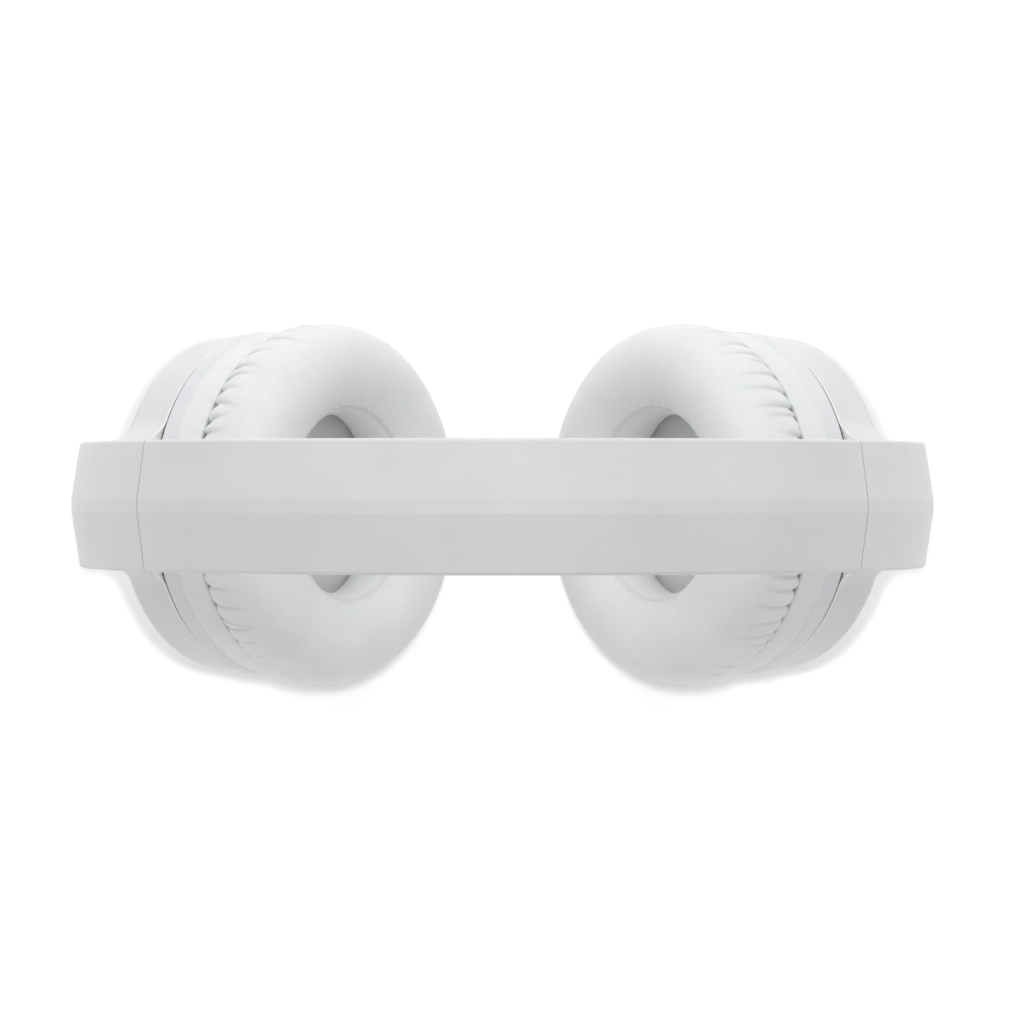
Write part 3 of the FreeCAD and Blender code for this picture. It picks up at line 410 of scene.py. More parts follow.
class NodeGraph:
    """A material's node tree with one short way of adding and linking nodes."""

    def __init__(self, name: str) -> None:
        """Start a material.

        Args:
            name: Name of the new material.
        """
        self.material = bpy.data.materials.new(name)
        self.material.use_nodes = True
        self.tree = self.material.node_tree
        self.tree.nodes.clear()
        self.output = self.add("ShaderNodeOutputMaterial")
        self.shader = self.add("ShaderNodeBsdfPrincipled")
        self.tree.links.new(self.shader.outputs[0], self.output.inputs[0])
        self.place = self.add("ShaderNodeTexCoord").outputs["Object"]

    def add(self, kind: str, inputs: dict | None = None, **settings: object) -> bpy.types.Node:
        """Add a node.

        Args:
            kind: The node's type.
            inputs: Values or sockets by input name or index.
            **settings: Properties of the node.

        Returns:
            The new node.
        """
        node = self.tree.nodes.new(kind)
        for name, value in settings.items():
            setattr(node, name, value)
        for key, value in (inputs or {}).items():
            self.feed(value, node.inputs[key])
        return node

    def feed(self, value: object, socket: bpy.types.NodeSocket) -> None:
        """Link a socket to an input, or set the input to a plain value."""
        if isinstance(value, bpy.types.NodeSocket):
            self.tree.links.new(value, socket)
        else:
            socket.default_value = value

    def set(self, **values: object) -> None:
        """Set or link inputs of the main shader, with _ for a space in their names."""
        for name, value in values.items():
            self.feed(value, self.shader.inputs[name.replace("_", " ")])

    def noise(self, size_mm: float, detail: float = 3.0, rough: float = 0.55,
              at: bpy.types.NodeSocket | None = None) -> bpy.types.NodeSocket:
        """A noise value: blotches about size_mm wide, read at the object's coordinates or at."""
        node = self.add("ShaderNodeTexNoise", {"Vector": at or self.place, "Scale": 1.0 / (size_mm * MM),
                                               "Detail": detail, "Roughness": rough})
        return node.outputs[0]

    def cells(self, size_mm: float, feature: str = "F1",
              at: bpy.types.NodeSocket | None = None) -> bpy.types.NodeSocket:
        """A cell distance: cells about size_mm wide, read at the object's coordinates or at."""
        node = self.add("ShaderNodeTexVoronoi", {"Vector": at or self.place, "Scale": 1.0 / (size_mm * MM)},
                        feature=feature)
        return node.outputs[0]

    def cup_place(self, lift: float) -> tuple[bpy.types.NodeSocket, bpy.types.NodeSocket]:
        """Where a point is in its cup's frame, the same on both cups.

        Args:
            lift: Height of the headband's centre, in millimetres.

        Returns:
            The sockets of the distance towards the ear from the cup's seam, and of the distance from its
            axis, in millimetres.
        """
        parts = self.add("ShaderNodeSeparateXYZ", {0: self.place})
        across = self.math("SUBTRACT", self.math("ABSOLUTE", parts.outputs[0]), CupFrame.MIDDLE_X * MM)
        height = self.math("SUBTRACT", parts.outputs[2], (lift - CupFrame.BELOW_CENTRE) * MM)
        low, high = math.sin(CupFrame.TILT) / MM, math.cos(CupFrame.TILT) / MM
        depth = self.math("ADD", self.math("MULTIPLY", across, -high), self.math("MULTIPLY", height, low))
        up = self.math("ADD", self.math("MULTIPLY", across, low), self.math("MULTIPLY", height, high))
        side = self.math("MULTIPLY", parts.outputs[1], 1.0 / MM)
        square = self.math("ADD", self.math("MULTIPLY", up, up), self.math("MULTIPLY", side, side))
        return depth, self.math("SQRT", square)

    def math(self, operation: str, first: object, second: object = 0.0) -> bpy.types.NodeSocket:
        """The result's socket of one arithmetic node on two values or sockets."""
        return self.add("ShaderNodeMath", {0: first, 1: second}, operation=operation).outputs[0]

    def spread(self, value: bpy.types.NodeSocket, low: float, high: float, to_low: float,
               to_high: float) -> bpy.types.NodeSocket:
        """Map a value from the range low to high onto to_low to to_high, clamped."""
        node = self.add("ShaderNodeMapRange", {"Value": value, "From Min": low, "From Max": high,
                                               "To Min": to_low, "To Max": to_high})
        return node.outputs[0]

    def mix(self, factor: object, first: object, second: object) -> bpy.types.NodeSocket:
        """Mix two colours or sockets; a factor of 0 gives the first."""
        node = self.add("ShaderNodeMix", {0: factor, 6: first, 7: second}, data_type="RGBA")
        return node.outputs[2]

    def bump(self, height: bpy.types.NodeSocket, depth_mm: float, strength: float = 1.0,
             normal: bpy.types.NodeSocket | None = None) -> bpy.types.NodeSocket:
        """A bump from a height.

        Args:
            height: The height's socket, from 0 to 1.
            depth_mm: How deep its full range is.
            strength: Share of the effect.
            normal: Another bump's normal to add to.

        Returns:
            The normal's socket.
        """
        inputs = {"Height": height, "Strength": strength, "Distance": depth_mm * MM}
        if normal is not None:
            inputs["Normal"] = normal
        return self.add("ShaderNodeBump", inputs).outputs[0]


@dataclass(frozen=True)
class PaintedLightBand:
    """A narrow zone across a cup's axis, in millimetres, where painted shade or a painted highlight is mixed into its
    plastic's colour.
    """

    low: float
    high: float
    colour: str
    share: float
    reach: float = 99.0


@dataclass(frozen=True)
class MouldedPlastic:
    """Satin moulded plastic: a fine spark-eroded grain, faint cloudiness and slightly polished high spots."""

    name: str
    colour: str
    shade: str
    roughness: float = 0.42
    grain_mm: float = 0.22
    grain_depth: float = 0.006
    lift: float = 0.0
    bands: tuple[PaintedLightBand, ...] = ()

    def build(self) -> bpy.types.Material:
        """Return the Blender material."""
        graph = NodeGraph(self.name)
        cloud = graph.noise(18.0, 3.0)
        fine = graph.noise(self.grain_mm, 2.0)
        tone = graph.spread(cloud, 0.3, 0.7, 0.0, 1.0)
        colour = graph.mix(tone, linear(self.shade), linear(self.colour))
        # Each band mixes painted shade or a painted highlight into the colour, standing in for light and shade at a
        # cup's seam.
        for band in self.bands:
            depth, radius = graph.cup_place(self.lift)
            inside = graph.math("MULTIPLY", graph.spread(depth, band.low - 0.06, band.low, 0.0, band.share),
                                graph.spread(depth, band.high, band.high + 0.06, 1.0, 0.0))
            inside = graph.math("MULTIPLY", inside, graph.spread(radius, band.reach, band.reach + 0.1, 1.0, 0.0))
            colour = graph.mix(inside, colour, linear(band.colour))
        graph.set(Base_Color=colour,
                  Roughness=graph.spread(graph.noise(6.0, 4.0), 0.3, 0.7, self.roughness - 0.04,
                                         self.roughness + 0.05),
                  IOR=1.49, Subsurface_Weight=0.06, Subsurface_Scale=0.002,
                  Normal=graph.bump(fine, self.grain_depth))
        return graph.material


@dataclass(frozen=True)
class SoftLeather:
    """Coated synthetic leather: small irregular grain with finer pores, a soft sheen and painted shade in its folds
    and seams.
    """

    name: str
    colour: str
    shade: str
    fold: str = "8B8E93"
    roughness: float = 0.5
    grain_mm: float = 0.75

    def build(self) -> bpy.types.Material:
        """Return the Blender material."""
        graph = NodeGraph(self.name)
        warp = graph.add("ShaderNodeTexNoise", {"Vector": graph.place, "Scale": 1.0 / (2.4 * MM), "Detail": 2.0})
        shift = graph.add("ShaderNodeVectorMath", {0: warp.outputs["Color"], 1: (0.0007, 0.0007, 0.0007)},
                          operation="MULTIPLY").outputs[0]
        moved = graph.add("ShaderNodeVectorMath", {0: graph.place, 1: shift}, operation="ADD").outputs[0]
        grain = graph.spread(graph.cells(self.grain_mm, "DISTANCE_TO_EDGE", moved), 0.0, 0.16, 0.0, 1.0)
        pores = graph.noise(0.25, 3.0, at=moved)
        height = graph.math("ADD", grain, graph.math("MULTIPLY", pores, 0.35))
        cloud = graph.spread(graph.noise(12.0, 3.0), 0.3, 0.7, 0.0, 1.0)
        tone = graph.mix(cloud, linear(self.shade), linear(self.colour))
        creased = graph.mix(graph.spread(grain, 0.0, 0.5, 0.10, 0.0), tone, linear("BFC2C4"))
        # Painted shade: the leather is darkened along the pleats, seams and grooves that the mesh attribute marks.
        fold = graph.add("ShaderNodeAttribute", attribute_name="fold").outputs["Fac"]
        fold_shaded = graph.mix(graph.math("MULTIPLY", fold, 0.6), creased, linear(self.fold))
        graph.set(Base_Color=fold_shaded,
                  Roughness=graph.spread(grain, 0.0, 1.0, self.roughness + 0.12, self.roughness),
                  IOR=1.46, Sheen_Weight=0.12, Sheen_Roughness=0.5, Subsurface_Weight=0.05,
                  Subsurface_Scale=0.002, Normal=graph.bump(height, 0.022))
        return graph.material


@dataclass(frozen=True)
class AcousticCloth:
    """Woven speaker cloth in the plane of a tilted cup: two crossing threads with small open gaps."""

    name: str
    colour: str
    gap: str
    side: int
    pitch_mm: float = 0.62

    def build(self) -> bpy.types.Material:
        """Return the Blender material."""
        graph = NodeGraph(self.name)
        turn = self.side * math.radians(55.0)
        flat = graph.add("ShaderNodeMapping", {"Vector": graph.place, "Rotation": (0.0, turn, 0.0)}).outputs[0]
        parts = graph.add("ShaderNodeSeparateXYZ", {0: flat})
        rate = 2.0 * math.pi / (self.pitch_mm * MM)
        warp = graph.math("SINE", graph.math("MULTIPLY", parts.outputs[0], rate))
        weft = graph.math("SINE", graph.math("MULTIPLY", parts.outputs[1], rate))
        over = graph.math("MULTIPLY", warp, weft)
        open_gap = graph.spread(graph.math("MAXIMUM", graph.math("ABSOLUTE", warp), graph.math("ABSOLUTE", weft)),
                                0.45, 0.8, 0.0, 1.0)
        fuzz = graph.noise(0.12, 3.0)
        tone = graph.mix(graph.spread(fuzz, 0.3, 0.7, 0.0, 0.35), linear(self.colour), linear("D6D8DA"))
        graph.set(Base_Color=graph.mix(open_gap, linear(self.gap), tone), Roughness=0.9, Sheen_Weight=0.25,
                  Normal=graph.bump(graph.math("ADD", over, fuzz), 0.05, 0.7))
        return graph.material


@dataclass(frozen=True)
class Thread:
    """Twisted sewing thread."""

    name: str
    colour: str

    def build(self) -> bpy.types.Material:
        """Return the Blender material."""
        graph = NodeGraph(self.name)
        twist = graph.add("ShaderNodeTexWave", {"Vector": graph.place, "Scale": 900.0, "Distortion": 1.5},
                          wave_type="BANDS", bands_direction="DIAGONAL").outputs[1]
        fibre = graph.noise(0.08, 2.0)
        graph.set(Base_Color=graph.mix(fibre, linear(self.colour), linear("F4F4F2")), Roughness=0.72,
                  Sheen_Weight=0.3, Normal=graph.bump(twist, 0.02))
        return graph.material


class Grain(Enum):
    """How the marks lie on a metal surface."""

    BRUSHED = "brushed"
    PLAIN = "plain"


@dataclass(frozen=True)
class Metal:
    """Bare metal, brushed along Z or plain."""

    name: str
    colour: str
    roughness: float
    grain: Grain = Grain.PLAIN

    def build(self) -> bpy.types.Material:
        """Return the Blender material."""
        graph = NodeGraph(self.name)
        stretch = (9000.0, 9000.0, 160.0) if self.grain is Grain.BRUSHED else (1800.0, 1800.0, 1800.0)
        at = graph.add("ShaderNodeMapping", {"Vector": graph.place, "Scale": stretch}).outputs[0]
        lines = graph.add("ShaderNodeTexNoise", {"Vector": at, "Scale": 1.0, "Detail": 3.0}).outputs[0]
        stain = graph.noise(5.0, 4.0)
        base = linear(self.colour)
        darker = tuple(channel * 0.82 for channel in base[:3]) + (1.0,)
        graph.set(Base_Color=graph.mix(graph.spread(stain, 0.35, 0.75, 0.0, 0.6), base, darker), Metallic=1.0,
                  Roughness=graph.spread(lines, 0.3, 0.7, self.roughness - 0.06, self.roughness + 0.1),
                  Normal=graph.bump(lines, 0.004))
        return graph.material


@dataclass(frozen=True)
class Lacquer:
    """Glossy sheet, film or board, with a soft mottle under the gloss."""

    name: str
    colour: str
    second: str
    blotch_mm: float = 2.0
    roughness: float = 0.25

    def build(self) -> bpy.types.Material:
        """Return the Blender material."""
        graph = NodeGraph(self.name)
        spots = graph.spread(graph.cells(self.blotch_mm), 0.2, 0.6, 0.0, 1.0)
        graph.set(Base_Color=graph.mix(spots, linear(self.colour), linear(self.second)),
                  Roughness=graph.spread(graph.noise(1.5), 0.3, 0.7, self.roughness, self.roughness + 0.12),
                  Coat_Weight=0.4, Normal=graph.bump(graph.noise(0.4), 0.004))
        return graph.material


class Finishes:
    """Every material of the headphones, built once."""

    def __init__(self, lift: float) -> None:
        """Build the materials.

        Args:
            lift: Height of the headband's centre, in millimetres.
        """
        self.shell = MouldedPlastic("satin_white", "DFE1E0", "DADCDB").build()
        self.liner = MouldedPlastic("satin_white_liner", "DEE0E1", "D8DADC", roughness=0.5, grain_mm=0.3).build()
        # The cover's first band is a painted highlight along the rounded rim by the seam; its second is painted shade
        # in the parting line.
        self.cover = MouldedPlastic("satin_white_cover", "DFE1E0", "DADCDB", lift=lift,
                                    bands=(PaintedLightBand(-0.70, 0.30, "F3F4F3", 0.55),
                                           PaintedLightBand(-0.05, 0.30, "5C5E62", 0.8, 37.95))).build()
        # The ring's band is painted shade along its side of the parting line.
        self.ring = MouldedPlastic("satin_white_ring", "E2E3E5", "DDDEE1", roughness=0.5, grain_mm=0.3, lift=lift,
                                   bands=(PaintedLightBand(-4.0, 0.56, "5E6064", 0.8),)).build()
        self.inner = MouldedPlastic("inner_grey", "9FA2A4", "939698", roughness=0.55).build()
        self.black = MouldedPlastic("inner_black", "1D1E20", "161719", roughness=0.55).build()
        self.acetal = MouldedPlastic("acetal", "DAD7CC", "D0CCBF", roughness=0.35).build()
        self.leather = SoftLeather("white_leather", "EAEBEA", "E4E6E6").build()
        self.cloth = {side: AcousticCloth("speaker_cloth_" + ("right" if side > 0 else "left"), "F0F1F2", "C8CACC",
                                          side).build() for side in (1, -1)}
        self.thread = Thread("white_thread", "EDEEEE").build()
        self.strip = Metal("brushed_steel", "BFC1C4", 0.3, Grain.BRUSHED).build()
        self.spring = Metal("spring_steel", "7E8084", 0.35, Grain.BRUSHED).build()
        self.screw = Metal("screw_steel", "6F7175", 0.3).build()
        self.magnet = Metal("magnet_plating", "B4B6B8", 0.2).build()
        self.socket = Metal("socket_steel", "C9CBCD", 0.25).build()
        self.rubber = MouldedPlastic("cable_jacket", "26272A", "1D1E20", roughness=0.6).build()
        self.film = Lacquer("driver_film", "A8A08C", "8F8872", 1.5).build()
        self.board = Lacquer("circuit_board", "14402A", "0F3322", 1.2).build()
        self.cell = Lacquer("foil_pouch", "B9BBBE", "A5A8AC", 3.0, 0.35).build()
        self.lens = Lacquer("light_window", "E9ECEE", "DDE1E4", 1.0, 0.12).build()

    def by_node(self) -> dict[str, bpy.types.Material]:
        """Which material each carried-over node wears, by the start of its name."""
        return {
            "band_shell": self.shell, "side_housing": self.shell, "arm": self.shell, "cup_cover": self.cover,
            "side_cover": self.liner, "band_liner": self.liner, "cup_housing": self.ring,
            "cushion_ring": self.inner, "power_button": self.shell, "volume_up_button": self.shell,
            "volume_down_button": self.shell, "band_spring": self.spring, "detent_spring": self.spring,
            "link_cable": self.rubber, "spring_screws": self.screw, "cover_screws": self.screw,
            "cup_screws": self.screw, "slider_strip": self.strip, "swivel_pin": self.socket,
            "swivel_bush": self.acetal, "swivel_clip": self.spring, "baffle": self.black,
            "driver_frame": self.black, "driver_magnet": self.magnet, "driver_diaphragm": self.film,
            "battery": self.cell, "main_board": self.board, "usb_socket": self.socket,
            "status_light": self.lens, "microphone": self.socket,
            "speaker_cloth_right": self.cloth[1], "speaker_cloth_left": self.cloth[-1],
        }


# ---- Geometry Nodes: stitches ------------------------------------------------------------------------------


class StitchRow:
    """A row of stitches along a closed or open line, made by a Geometry Nodes tree."""

    TREE = "stitch_row"

    def __init__(self, material: bpy.types.Material) -> None:
        """Find or build the tree, for stitches of a material."""
        self.material = material
        self.tree = bpy.data.node_groups.get(self.TREE) or self._build()

    def _build(self) -> bpy.types.NodeTree:
        """Build the tree: curve, even points, one capsule on each, realised."""
        tree = bpy.data.node_groups.new(self.TREE, "GeometryNodeTree")
        face = tree.interface
        face.new_socket("Geometry", in_out="INPUT", socket_type="NodeSocketGeometry")
        for name, default in (("Pitch", 0.003), ("Length", 0.0021), ("Width", 0.0004)):
            face.new_socket(name, in_out="INPUT", socket_type="NodeSocketFloat").default_value = default
        face.new_socket("Thread", in_out="INPUT", socket_type="NodeSocketMaterial")
        face.new_socket("Geometry", in_out="OUTPUT", socket_type="NodeSocketGeometry")
        nodes = tree.nodes
        enter, leave = nodes.new("NodeGroupInput"), nodes.new("NodeGroupOutput")
        curve = nodes.new("GeometryNodeMeshToCurve")
        even = nodes.new("GeometryNodeResampleCurve")
        even.mode = "LENGTH"
        place = nodes.new("GeometryNodeInstanceOnPoints")
        bead = nodes.new("GeometryNodeMeshUVSphere")
        bead.inputs["Segments"].default_value = 8
        bead.inputs["Rings"].default_value = 6
        bead.inputs["Radius"].default_value = 0.5
        tangent = nodes.new("GeometryNodeInputTangent")
        align = nodes.new("FunctionNodeAlignRotationToVector")
        align.axis = "X"
        size = nodes.new("ShaderNodeCombineXYZ")
        real = nodes.new("GeometryNodeRealizeInstances")
        paint = nodes.new("GeometryNodeSetMaterial")
        width = enter.outputs["Width"]
        for source, target in (
                (enter.outputs["Geometry"], curve.inputs[0]), (curve.outputs[0], even.inputs["Curve"]),
                (enter.outputs["Pitch"], even.inputs["Length"]), (even.outputs[0], place.inputs["Points"]),
                (bead.outputs[0], place.inputs["Instance"]), (tangent.outputs[0], align.inputs["Vector"]),
                (align.outputs[0], place.inputs["Rotation"]), (enter.outputs["Length"], size.inputs[0]),
                (width, size.inputs[1]), (width, size.inputs[2]), (size.outputs[0], place.inputs["Scale"]),
                (place.outputs[0], real.inputs[0]), (real.outputs[0], paint.inputs[0]),
                (enter.outputs["Thread"], paint.inputs["Material"]), (paint.outputs[0], leave.inputs[0])):
            tree.links.new(source, target)
        return tree

    def sew(self, name: str, line: np.ndarray, closed: bool, pitch_mm: float = 3.0, length_mm: float = 2.1,
            width_mm: float = 0.4) -> bpy.types.Object:
        """Sew stitches along a line.

        Args:
            name: Name of the new object.
            line: Array of world points, in metres.
            closed: Whether the line returns to its start.
            pitch_mm: Distance from stitch to stitch.
            length_mm: Length of one stitch.
            width_mm: Thickness of the thread.

        Returns:
            The object, a plain mesh.
        """
        count = len(line)
        edges = [(i, i + 1) for i in range(count - 1)]
        if closed:
            edges.append((count - 1, 0))
        mesh = bpy.data.meshes.new(name)
        mesh.from_pydata([tuple(p) for p in line], edges, [])
        obj = new_object(name, mesh)
        modifier = obj.modifiers.new("stitches", "NODES")
        modifier.node_group = self.tree
        values = {"Pitch": pitch_mm * MM, "Length": length_mm * MM, "Width": width_mm * MM,
                  "Thread": self.material}
        for item in self.tree.interface.items_tree:
            if item.in_out == "INPUT" and item.name in values:
                modifier[item.identifier] = values[item.name]
        bake(obj)
        for polygon in obj.data.polygons:
            polygon.use_smooth = True
        return obj


# ---- upholstery --------------------------------------------------------------------------------------------


class Padding:
    """Cloth simulation: pressure swells the free part of a closed mesh, up to a cap."""

    def __init__(self, pressure: float = 4.0, frames: int = 20, cap_mm: float = 3.0) -> None:
        """Keep the settings.

        Args:
            pressure: Cloth pressure.
            frames: Steps to run.
            cap_mm: Largest move allowed.
        """
        self.pressure = pressure
        self.frames = frames
        self.cap = cap_mm * MM

    def swell(self, obj: bpy.types.Object, pinned: Sequence) -> None:
        """Swell an object, keeping the pinned vertices, and leave the result in its mesh.

        Args:
            obj: A closed mesh object.
            pinned: Weight of 0 to 1 for each vertex; 1 doesn't move.
        """
        start = read_points(obj.data)
        group = obj.vertex_groups.new(name="held")
        for index, weight in enumerate(pinned):
            group.add([index], float(weight), "REPLACE")
        modifier = obj.modifiers.new("cloth", "CLOTH")
        cloth = modifier.settings
        cloth.quality = 6
        cloth.mass = 0.15
        cloth.tension_stiffness = 12.0
        cloth.compression_stiffness = 12.0
        cloth.bending_stiffness = 0.4
        cloth.use_pressure = True
        cloth.uniform_pressure_force = self.pressure
        cloth.vertex_group_mass = "held"
        cloth.effector_weights.gravity = 0.0
        modifier.collision_settings.use_self_collision = False
        modifier.point_cache.frame_start = 1
        modifier.point_cache.frame_end = self.frames
        scene = bpy.context.scene
        for frame in range(1, self.frames + 1):
            scene.frame_set(frame)
        graph = bpy.context.evaluated_depsgraph_get()
        moved = read_points(obj.evaluated_get(graph).data)
        obj.modifiers.clear()
        obj.vertex_groups.clear()
        scene.frame_set(1)
        step = moved - start
        length = np.linalg.norm(step, axis=1)
        scale = np.minimum(1.0, self.cap / np.maximum(length, 1e-9))
        write_points(obj.data, start + step * scale[:, None])
        LOG.info("%s swelled by up to %.2f mm", obj.name, 1000.0 * float((length * scale).max()))


@dataclass
class CoverShell:
    """A cup cover's moulding, with its lower edge finished to one even round."""

    cup: CupFrame
    finishes: Finishes
    rim_r: float = 37.9
    taper: float = 0.6
    depth: float = 11.7
    edge_round: float = 1.0
    top: float = 12.0

    def build(self, source: bpy.types.Object) -> bpy.types.Object:
        """Copy the cover, merge it and trim what stands past its round edge.

        Args:
            source: The carried-over cover.

        Returns:
            The finished cover.
        """
        obj = new_object("cover_shell_" + self.cup.label, source.data.copy())
        work = bmesh.new()
        work.from_mesh(obj.data)
        bmesh.ops.remove_doubles(work, verts=work.verts, dist=0.002 * MM)
        work.to_mesh(obj.data)
        work.free()
        a, r, phi = self.cup.local(read_points(obj.data))
        past = np.clip(-a - (self.depth - self.edge_round), 0.0, self.edge_round)
        limit = self.rim_r + self.taper * a / self.depth - self.edge_round
        limit += np.sqrt(self.edge_round ** 2 - past ** 2)
        low = (r > limit) & (r * np.cos(phi) < self.top) & (a < 0.0)
        write_points(obj.data, self.cup.points(a, np.where(low, limit, r), phi))
        smooth(obj, 30.0)
        even = obj.modifiers.new("even_shading", "WEIGHTED_NORMAL")
        even.keep_sharp = True
        bake(obj)
        wear(obj, self.finishes.cover)
        LOG.info("%s: %d points trimmed, by up to %.2f mm", obj.name, int(low.sum()),
                 float((r - limit)[low].max()) if low.any() else 0.0)
        return obj


@dataclass
class CushionSizes:
    """Sizes of an ear cushion in its cup's frame, in millimetres."""

    back: float = 4.50
    skirt_r: float = 38.28
    crease_a: float = 11.2
    crease_r: float = 36.4
    middle_a: float = 19.4
    front_a: float = 28.9
    outer_r: float = 39.8
    hole_r: float = 19.5
    foot_a: float = 8.7
    foot_r: float = 28.2
    floor_a: float = 6.9
    seam_a: float = 24.0
    columns: int = 200


@dataclass
class PleatSizes:
    """Gathers of an ear cushion, in millimetres."""

    pitch: float = 3.9
    depth: float = 0.95
    shortest: float = 9.0
    longest: float = 15.0
    seed: int = 11


@dataclass
class EarCushion:
    """A ring cushion: straight skirt, gathered seam, full roll and a sewn inner seam."""

    cup: CupFrame
    finishes: Finishes
    sizes: CushionSizes = field(default_factory=CushionSizes)
    pleats: PleatSizes = field(default_factory=PleatSizes)

    def roll(self) -> np.ndarray:
        """The roll's line from the gathered seam round to its inner foot, as close (a, r) points."""
        s = self.sizes
        top_r = (s.outer_r + s.hole_r) / 2.0
        knots = [(s.crease_a + 0.2, s.crease_r), (s.crease_a + 0.55, s.crease_r + 1.5),
                 (s.crease_a + 2.3, s.outer_r - 0.65), (s.middle_a - 0.5, s.outer_r),
                 (s.middle_a + 6.2, s.outer_r - 2.2), (s.front_a, top_r), (s.middle_a + 5.5, s.hole_r + 2.0),
                 (s.middle_a, s.hole_r), (s.crease_a + 2.2, s.hole_r + 2.0),
                 (s.foot_a + 1.9, s.foot_r - 3.6), (s.foot_a, s.foot_r)]
        return smooth_line(knots, 400)

    def profile(self) -> list[tuple[float, float, float, float]]:
        """The closed section: each row's a, r, hold from 0, free, to 1, fixed, and distance past the gathers."""
        s = self.sizes
        rows = [(s.back + 0.1, s.skirt_r - 0.5, 1.0, -8.0), (s.back, s.skirt_r - 0.1, 1.0, -7.0),
                (s.back + 0.5, s.skirt_r + 0.04, 1.0, -6.5), (s.crease_a - 0.8, s.skirt_r - 0.15, 1.0, -1.2),
                (s.crease_a - 0.05, s.skirt_r - 0.5, 1.0, -0.6), (s.crease_a, s.crease_r + 0.3, 1.0, -0.3)]
        line = self.roll()
        length = along_line(line)
        stations = np.concatenate(((0.0, 0.6, 1.3, 2.1, 3.2, 4.8), np.linspace(7.0, length[-1], 15)))
        for place in stations:
            held = max(0.0, 1.0 - max(0.0, place - 1.0) / 3.0, 1.0 - (length[-1] - place) / 6.0)
            rows.append((float(np.interp(place, length, line[:, 0])), float(np.interp(place, length, line[:, 1])),
                         held, float(place)))
        rows += [(s.floor_a + 0.2, s.foot_r + 0.9, 1.0, 60.0), (s.floor_a, s.skirt_r - 1.8, 1.0, 60.0),
                 (s.back + 0.6, s.skirt_r - 1.5, 1.0, 60.0)]
        return rows

    def build(self) -> tuple[bpy.types.Object, bpy.types.Object]:
        """Model, gather and sew the cushion.

        The pressure moves this closed, stiff ring by about 0.002 mm only, so its form is the profile's.

        Returns:
            The cushion and its stitches.
        """
        rows = self.profile()
        columns = self.sizes.columns
        obj = mesh_object("cushion_" + self.cup.label, self.cup.turned(rows, columns),
                          ring_faces(columns, len(rows), True))
        Padding(pressure=4.0, cap_mm=0.5).swell(obj, np.tile([row[2] for row in rows], columns))
        store(obj.data, "reach", np.tile([row[3] for row in rows], columns))
        divide(obj, 2)
        self.gather(obj)
        finish_cover(obj, self.finishes.leather)
        return obj, self.inner_stitches(obj)

    def gather(self, obj: bpy.types.Object) -> None:
        """Press the pleats into the roll, pull in the skirt's edge, press the inner seam, and mark painted shade
        along the pleats and the seams.

        Args:
            obj: The cushion.
        """
        s, p = self.sizes, self.pleats
        points = read_points(obj.data)
        normals = read_normals(obj.data)
        a, r, phi = self.cup.local(points)
        reach = np.zeros(len(points), dtype=np.float32)
        obj.data.attributes["reach"].data.foreach_get("value", reach)
        on_roll = (reach >= -0.25) & (reach < 20.0)
        out = np.clip(reach, 0.0, None)
        chance = np.random.default_rng(p.seed + (0 if self.cup.side > 0 else 40))
        count = int(round(2.0 * math.pi * s.outer_r / p.pitch))
        where = (np.arange(count) + chance.uniform(-0.22, 0.22, count)) * 2.0 * math.pi / count
        depth = p.depth * chance.uniform(0.65, 1.1, count)
        length = chance.uniform(p.shortest, p.longest, count)
        slant = chance.normal(0.0, 0.05, count)
        bend = chance.normal(0.0, 0.005, count)
        push = np.zeros(len(points))
        fold = np.zeros(len(points))
        pulled = np.zeros(len(points))
        for index in range(count):
            line = where[index] + (slant[index] * out + bend[index] * out ** 2) / s.outer_r
            across = (np.mod(phi - line + math.pi, 2.0 * math.pi) - math.pi) * s.outer_r
            fade = np.clip(1.0 - out / length[index], 0.0, 1.0) ** 1.3
            steep = 0.42 + 0.04 * out
            gentle = 0.72 + 0.13 * out
            wide = np.where(across > 0.0, steep, gentle)
            push -= depth[index] * fade * np.exp(-(np.abs(across) / wide) ** 1.6)
            puff = np.exp(-((across + 2.1 * gentle) / (1.3 * gentle)) ** 2)
            puff += 0.7 * np.exp(-((across - 2.4 * steep) / (1.5 * steep)) ** 2)
            push += 0.24 * depth[index] * fade * puff
            # Painted shade along each pleat's line.
            fold = np.maximum(fold, fade ** 0.7 * np.exp(-((across + 0.05) / (0.30 + 0.02 * out)) ** 2))
            pulled = np.maximum(pulled, np.exp(-(across / 1.1) ** 2))
        push = np.where(on_roll, push, 0.0)
        fold = np.where(on_roll, fold, 0.0)
        turn = np.arctan2(a - s.middle_a, r - (s.outer_r + s.hole_r) / 2.0)
        soft = 0.10 * np.sin(3.0 * phi + 1.1) * np.cos(turn) + 0.07 * np.sin(7.0 * phi + 0.4) * np.sin(turn)
        push += soft * np.clip((out - 4.0) / 6.0, 0.0, 1.0)
        seam = self.seam_place()
        seam_gap = np.hypot(a - seam[0], r - seam[1])
        push -= 0.40 * np.exp(-(seam_gap / 0.5) ** 2)
        fold = np.maximum(fold, 0.7 * np.exp(-(seam_gap / 0.35) ** 2))
        fold = np.maximum(fold, np.exp(-((reach + 0.1) / 0.45) ** 2))
        lobe = np.where(on_roll, (1.0 - pulled) * np.exp(-((out - 0.9) / 0.9) ** 2), 0.0)
        edge = np.where(reach < -0.25, pulled * np.exp(-((reach + 0.6) / 1.2) ** 2), 0.0)
        moved = points + normals * ((push - 0.22 * edge) * MM)[:, None] - self.cup.ear * (0.3 * lobe * MM)[:, None]
        write_points(obj.data, moved)
        obj.data.attributes.remove(obj.data.attributes["reach"])
        # Painted shade: how far the leather is darkened in the pleats, the gathered seam and the inner seam.
        store(obj.data, "fold", fold)

